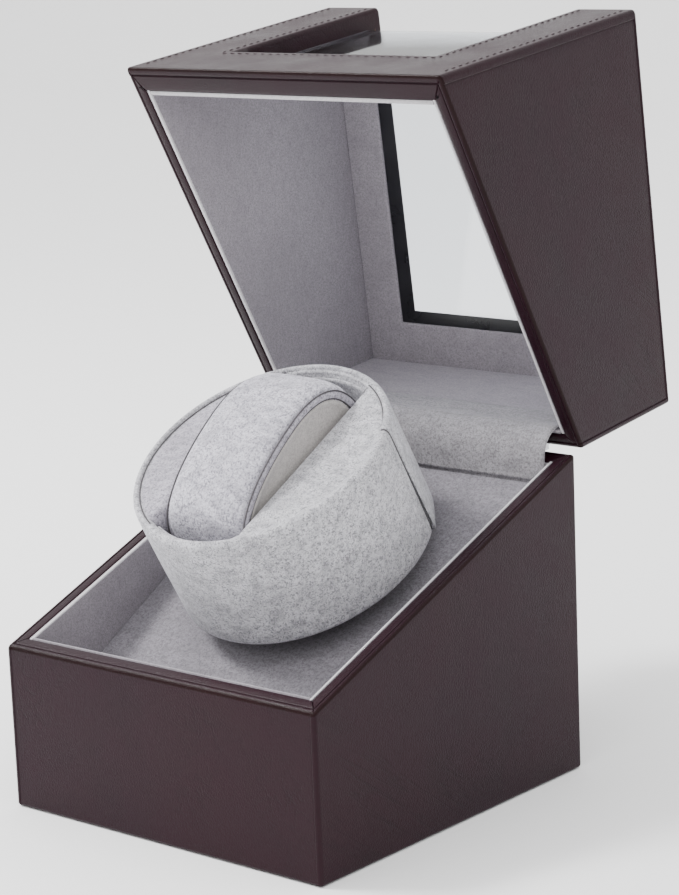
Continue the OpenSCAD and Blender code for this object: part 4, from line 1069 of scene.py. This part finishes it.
def build_pillow():
    """The pillow's band, then the narrow gussets, the dark cords painted along each seam as its shade, and soft
    panels on its two sides.
    """
    line = catmull(PILLOW_LINE, 4)
    line[:, 1] += PILLOW_BASE
    out, n = line_normals(line), len(line)
    exposed = np.clip((line[:, 1] - 44.0) / 10.0, 0, 1)[:, None]
    verts = []
    for x in BAND_HALF * np.sin(np.linspace(-1, 1, 25) * math.pi / 2 * 0.97) / math.sin(math.pi / 2 * 0.97):
        e = min(1.0, abs(x) / BAND_HALF)
        rise = BAND_CROWN * (1 - e ** 4.5) ** 0.75 * exposed - 0.75 - 0.35 * e ** 10
        verts += [(x, *p) for p in np.vstack([line + out * rise, (line - out * BAND_THICK)[::-1]])]
    near, far = caps(25, 2 * n)
    faces = grid_faces(25, 2 * n, close_cols=True) + [near[::-1], far]
    o = piece("pillow_band", verts, faces, ["pillow", "hollow"], None, "cup_suede", weighted=False)
    swell(o, 1.6, 12.0, 0.9)
    middle = line - out * BAND_MIDDLE
    for poly in o.data.polygons:
        c = np.array(poly.center)[1:] / MM
        k = int(np.argmin(np.hypot(*(middle - c).T)))
        poly.material_index = int((c - middle[k]) @ out[k] < -1.2)
    finish_swollen(o, get_points(o) / MM, "pillow", "pillow")

    gusset = [(0.95, 14.5), (0.95, 16.35), (1.2, 16.8), (2.05, 17.05), (2.9, 16.8), (3.25, 16.3), (3.25, 14.5)]
    panel = [(3.55, 12.0), (3.5, 15.3), (3.7, 15.95), (4.2, 16.3), (4.9, 16.2), (5.6, 15.75), (6.3, 15.45),
             (7.4, 15.3), (9.0, 15.25)]
    inward = [(0.72, 15.4), (0.4, 15.6), (0.1, 15.65)]
    hub = np.array([0.0, 32.0])
    for sx, tag in ((1, "right"), (-1, "left")):
        def rings(profile):
            return [[(sx * x, *p) for p in line - out * inset] for inset, x in profile]

        faces = grid_faces(len(gusset), n, close_rows=True, close_cols=True)
        cup_piece(f"pillow_{tag}_gusset", sum(rings(gusset), []), faces, "pad", "pillow")
        # Dark cords along both edges of each gusset: painted shade in the seam crevices.
        seam_shade_cords = [tube(ring, SHADE_CORD_R, closed=True) for ring in rings([(0.78, 16.62), (3.4, 16.25)])]
        cup_piece(f"pillow_{tag}_seams", *join_meshes(seam_shade_cords), "seam", "pillow")
        verts = sum(rings(panel), [])
        for share, x in inward:
            verts += [(sx * x, *(hub + (p - hub) * share)) for p in line - out * 9.0]
        faces = stack_faces(len(panel) + len(inward), n)
        cup_piece(f"pillow_{tag}_panel", verts, faces, "hollow", "pillow")


def build_left_pad():
    """The left half-moon pad, stuffed a little so that its face crowns and its edge rounds over."""
    x0, r, top, low = -SLOT_HALF - 0.35, BOWL_R - 0.55, RIM_TOP - 0.75, FLOOR_Z + 0.2
    half = math.degrees(math.acos(-x0 / r))
    outline = [-np.array(polar(r, a)) for a in np.linspace(half, -half, 41)]
    outline += list(np.linspace(outline[-1], outline[0], 20)[1:-1])
    if area2(outline) < 0:
        outline = outline[::-1]
    rings = [(0, low), (0, low + 4), (0, top - 3), (0.15, top - 1.2), (0.8, top - 0.35), (1.8, top - 0.05)]
    verts = [(*p, z) for inset, z in rings for p in offset_outline(outline, inset)]
    o = piece("left_pad_cover", verts, stack_faces(len(rings), len(outline)), "pad", None, "cup_suede",
              weighted=False)
    swell(o, 1.9, 14.0, 0.9, pin=lambda v: v[2] < RIM_TOP - 9)

    # Its cover is drawn out to the rim's roll, and never into the slot
    co = get_points(o) / MM
    rad = np.hypot(co[:, 0], co[:, 1])
    ease = smoothstep(np.clip((rad - 34.5) / 4.5, 0, 1) * np.clip((co[:, 2] - (RIM_TOP - 5.0)) / 2.5, 0, 1))
    grow = np.minimum(rad + 2.6 * ease, np.maximum(rad, PAD_EDGE_R)) / np.maximum(rad, 1)
    co[:, :2] *= grow[:, None]
    co[:, 2] += 0.35 * ease
    co[:, 0] = np.minimum(co[:, 0], -SLOT_HALF - 0.1)
    finish_swollen(o, co, "cup", "left_pad")


# ------------------------------------------------------------------ carried-over CAD nodes
FINISH = {
    "board": ["base_front_board", "base_back_board", "base_side_boards", "base_bottom_board", "deck_board",
              "deck_cleats", "lid_side_boards", "lid_front_board", "lid_top_board", "lid_back_board", "cup_shell"],
    "felt": ["bottom_felt"],
    "black": ["gearbox_case", "gearbox_cover", "control_plate", "dc_socket", "mode_knob", "battery_tray",
              "battery_door"],
    "gear": ["idler_gear", "output_gear", "turntable_hub"],
    "steel": ["gearbox_screws", "motor_gearhead", "motor_can", "motor_shaft", "idler_axle", "output_shaft",
              "hub_screws", "mode_switch", "switch_shaft", "battery_contacts", "base_hinge_leaves",
              "lid_hinge_leaves", "hinge_pins", "base_hinge_screws", "lid_hinge_screws"],
    "brass": ["motor_pinion", "shaft_bushes"],
    "circuit": ["circuit_board"],
    "lens": ["status_led"],
    "lead": ["internal_leads"],
}
SOFT_EDGES = {"control_plate": 0.3, "battery_tray": 0.3, "battery_door": 0.25, "mode_knob": 0.4, "bottom_felt": 0.3,
              "base_hinge_leaves": 0.15, "lid_hinge_leaves": 0.15, "dc_socket": 0.12}


def finish_cad_nodes():
    """Every CAD node that stays gets a procedural finish, and softened edges where it can be seen."""
    for mat, names in FINISH.items():
        for name in names:
            mats = NODES[name].data.materials
            for i in range(len(mats)):
                mats[i] = M[mat]
            if not mats:
                mats.append(M[mat])
            if name in SOFT_EDGES:
                b = NODES[name].modifiers.new("soft_edges", "BEVEL")
                b.width, b.segments, b.limit_method = SOFT_EDGES[name] * MM, 2, "ANGLE"
                b.angle_limit = math.radians(40)


# ------------------------------------------------------------------ room, light and camera, in metres
FLOOR_HALF, FLOOR_STEPS, CURVE_Y = 3, 24, 1.6
CAMERA_AT, CAMERA_TURN = (0.5737, -0.6416, 0.2979), (40.69, 12.14, -2.31)   # azimuth, elevation and roll
FOCAL_PX, PHOTO_H, SENSOR = 2764.3, 895, 36


def link_object(name, data):
    o = bpy.data.objects.new(name, data)
    bpy.context.scene.collection.objects.link(o)
    return o


def build_room():
    at = [-FLOOR_HALF + 2 * FLOOR_HALF * i / FLOOR_STEPS for i in range(FLOOR_STEPS + 1)]
    mesh = bpy.data.meshes.new("floor")
    mesh.from_pydata([(x, y, max(0.0, y - CURVE_Y) ** 2 * 0.9) for x in at for y in at], [],
                     grid_faces(FLOOR_STEPS + 1, FLOOR_STEPS + 1))
    mesh.shade_smooth()
    m = Nodes("pale_floor")
    col = m.mix(m.noise(1.5, 3, 0.5), (0.86, 0.86, 0.865), (0.90, 0.90, 0.90))
    mesh.materials.append(m.set(Base_Color=col, Roughness=0.9, Specular_IOR_Level=0.1))
    link_object("floor", mesh)


def area_light(name, at, aim, size, power, colour=(1, 1, 1)):
    light = bpy.data.lights.new(name, "AREA")
    light.energy, light.size, light.color = power, size, colour
    o = link_object(name, light)
    o.location = at
    o.rotation_euler = (Vector(aim) - Vector(at)).to_track_quat("-Z", "Y").to_euler()


def build_light_and_camera():
    world = bpy.data.worlds.new("studio")
    bpy.context.scene.world = world
    world.use_nodes = True
    tree = world.node_tree
    back = tree.nodes["Background"]
    split = tree.nodes.new("ShaderNodeSeparateXYZ")
    tree.links.new(tree.nodes.new("ShaderNodeTexCoord").outputs["Generated"], split.inputs[0])
    height = tree.nodes.new("ShaderNodeMapRange")
    tree.links.new(split.outputs["Z"], height.inputs["Value"])
    for key, value in (("From Min", -0.1), ("From Max", 0.75), ("To Min", 0.35), ("To Max", 2.4)):
        height.inputs[key].default_value = value
    tree.links.new(height.outputs[0], back.inputs[1])
    back.inputs[0].default_value = (1.0, 1.0, 1.0, 1)
    area_light("key", (-0.75, -0.45, 1.15), (0, 0, 0.1), 0.32, 24.0)
    area_light("fill", (0.5, -1.2, 0.5), (0, 0, 0.12), 0.9, 3.0, (0.97, 0.98, 1.0))
    cam = bpy.data.cameras.new("camera")
    cam.sensor_width, cam.lens = SENSOR, FOCAL_PX / PHOTO_H * SENSOR
    cam.clip_start, cam.clip_end = 0.01, 20
    az, el, roll = [math.radians(a) for a in CAMERA_TURN]
    back = Vector((math.sin(az) * math.cos(el), -math.cos(az) * math.cos(el), math.sin(el)))
    level = (-back).cross(Vector((0, 0, 1))).normalized()
    upright = level.cross(-back)
    right = math.cos(roll) * level + math.sin(roll) * upright
    up = -math.sin(roll) * level + math.cos(roll) * upright
    o = link_object("camera", cam)
    o.matrix_world = Matrix.Translation(CAMERA_AT) @ Matrix((right, up, back)).transposed().to_4x4()
    bpy.context.scene.camera = o


build_light_and_camera()
build_room()
build_base_leather()
build_lid_leather()
build_stitches()
build_linings()
build_deck()
build_hinge_cloth()
build_window()
build_cup_cover()
build_bowl_lining()
build_right_pad()
build_left_pad()
build_pillow()
finish_cad_nodes()
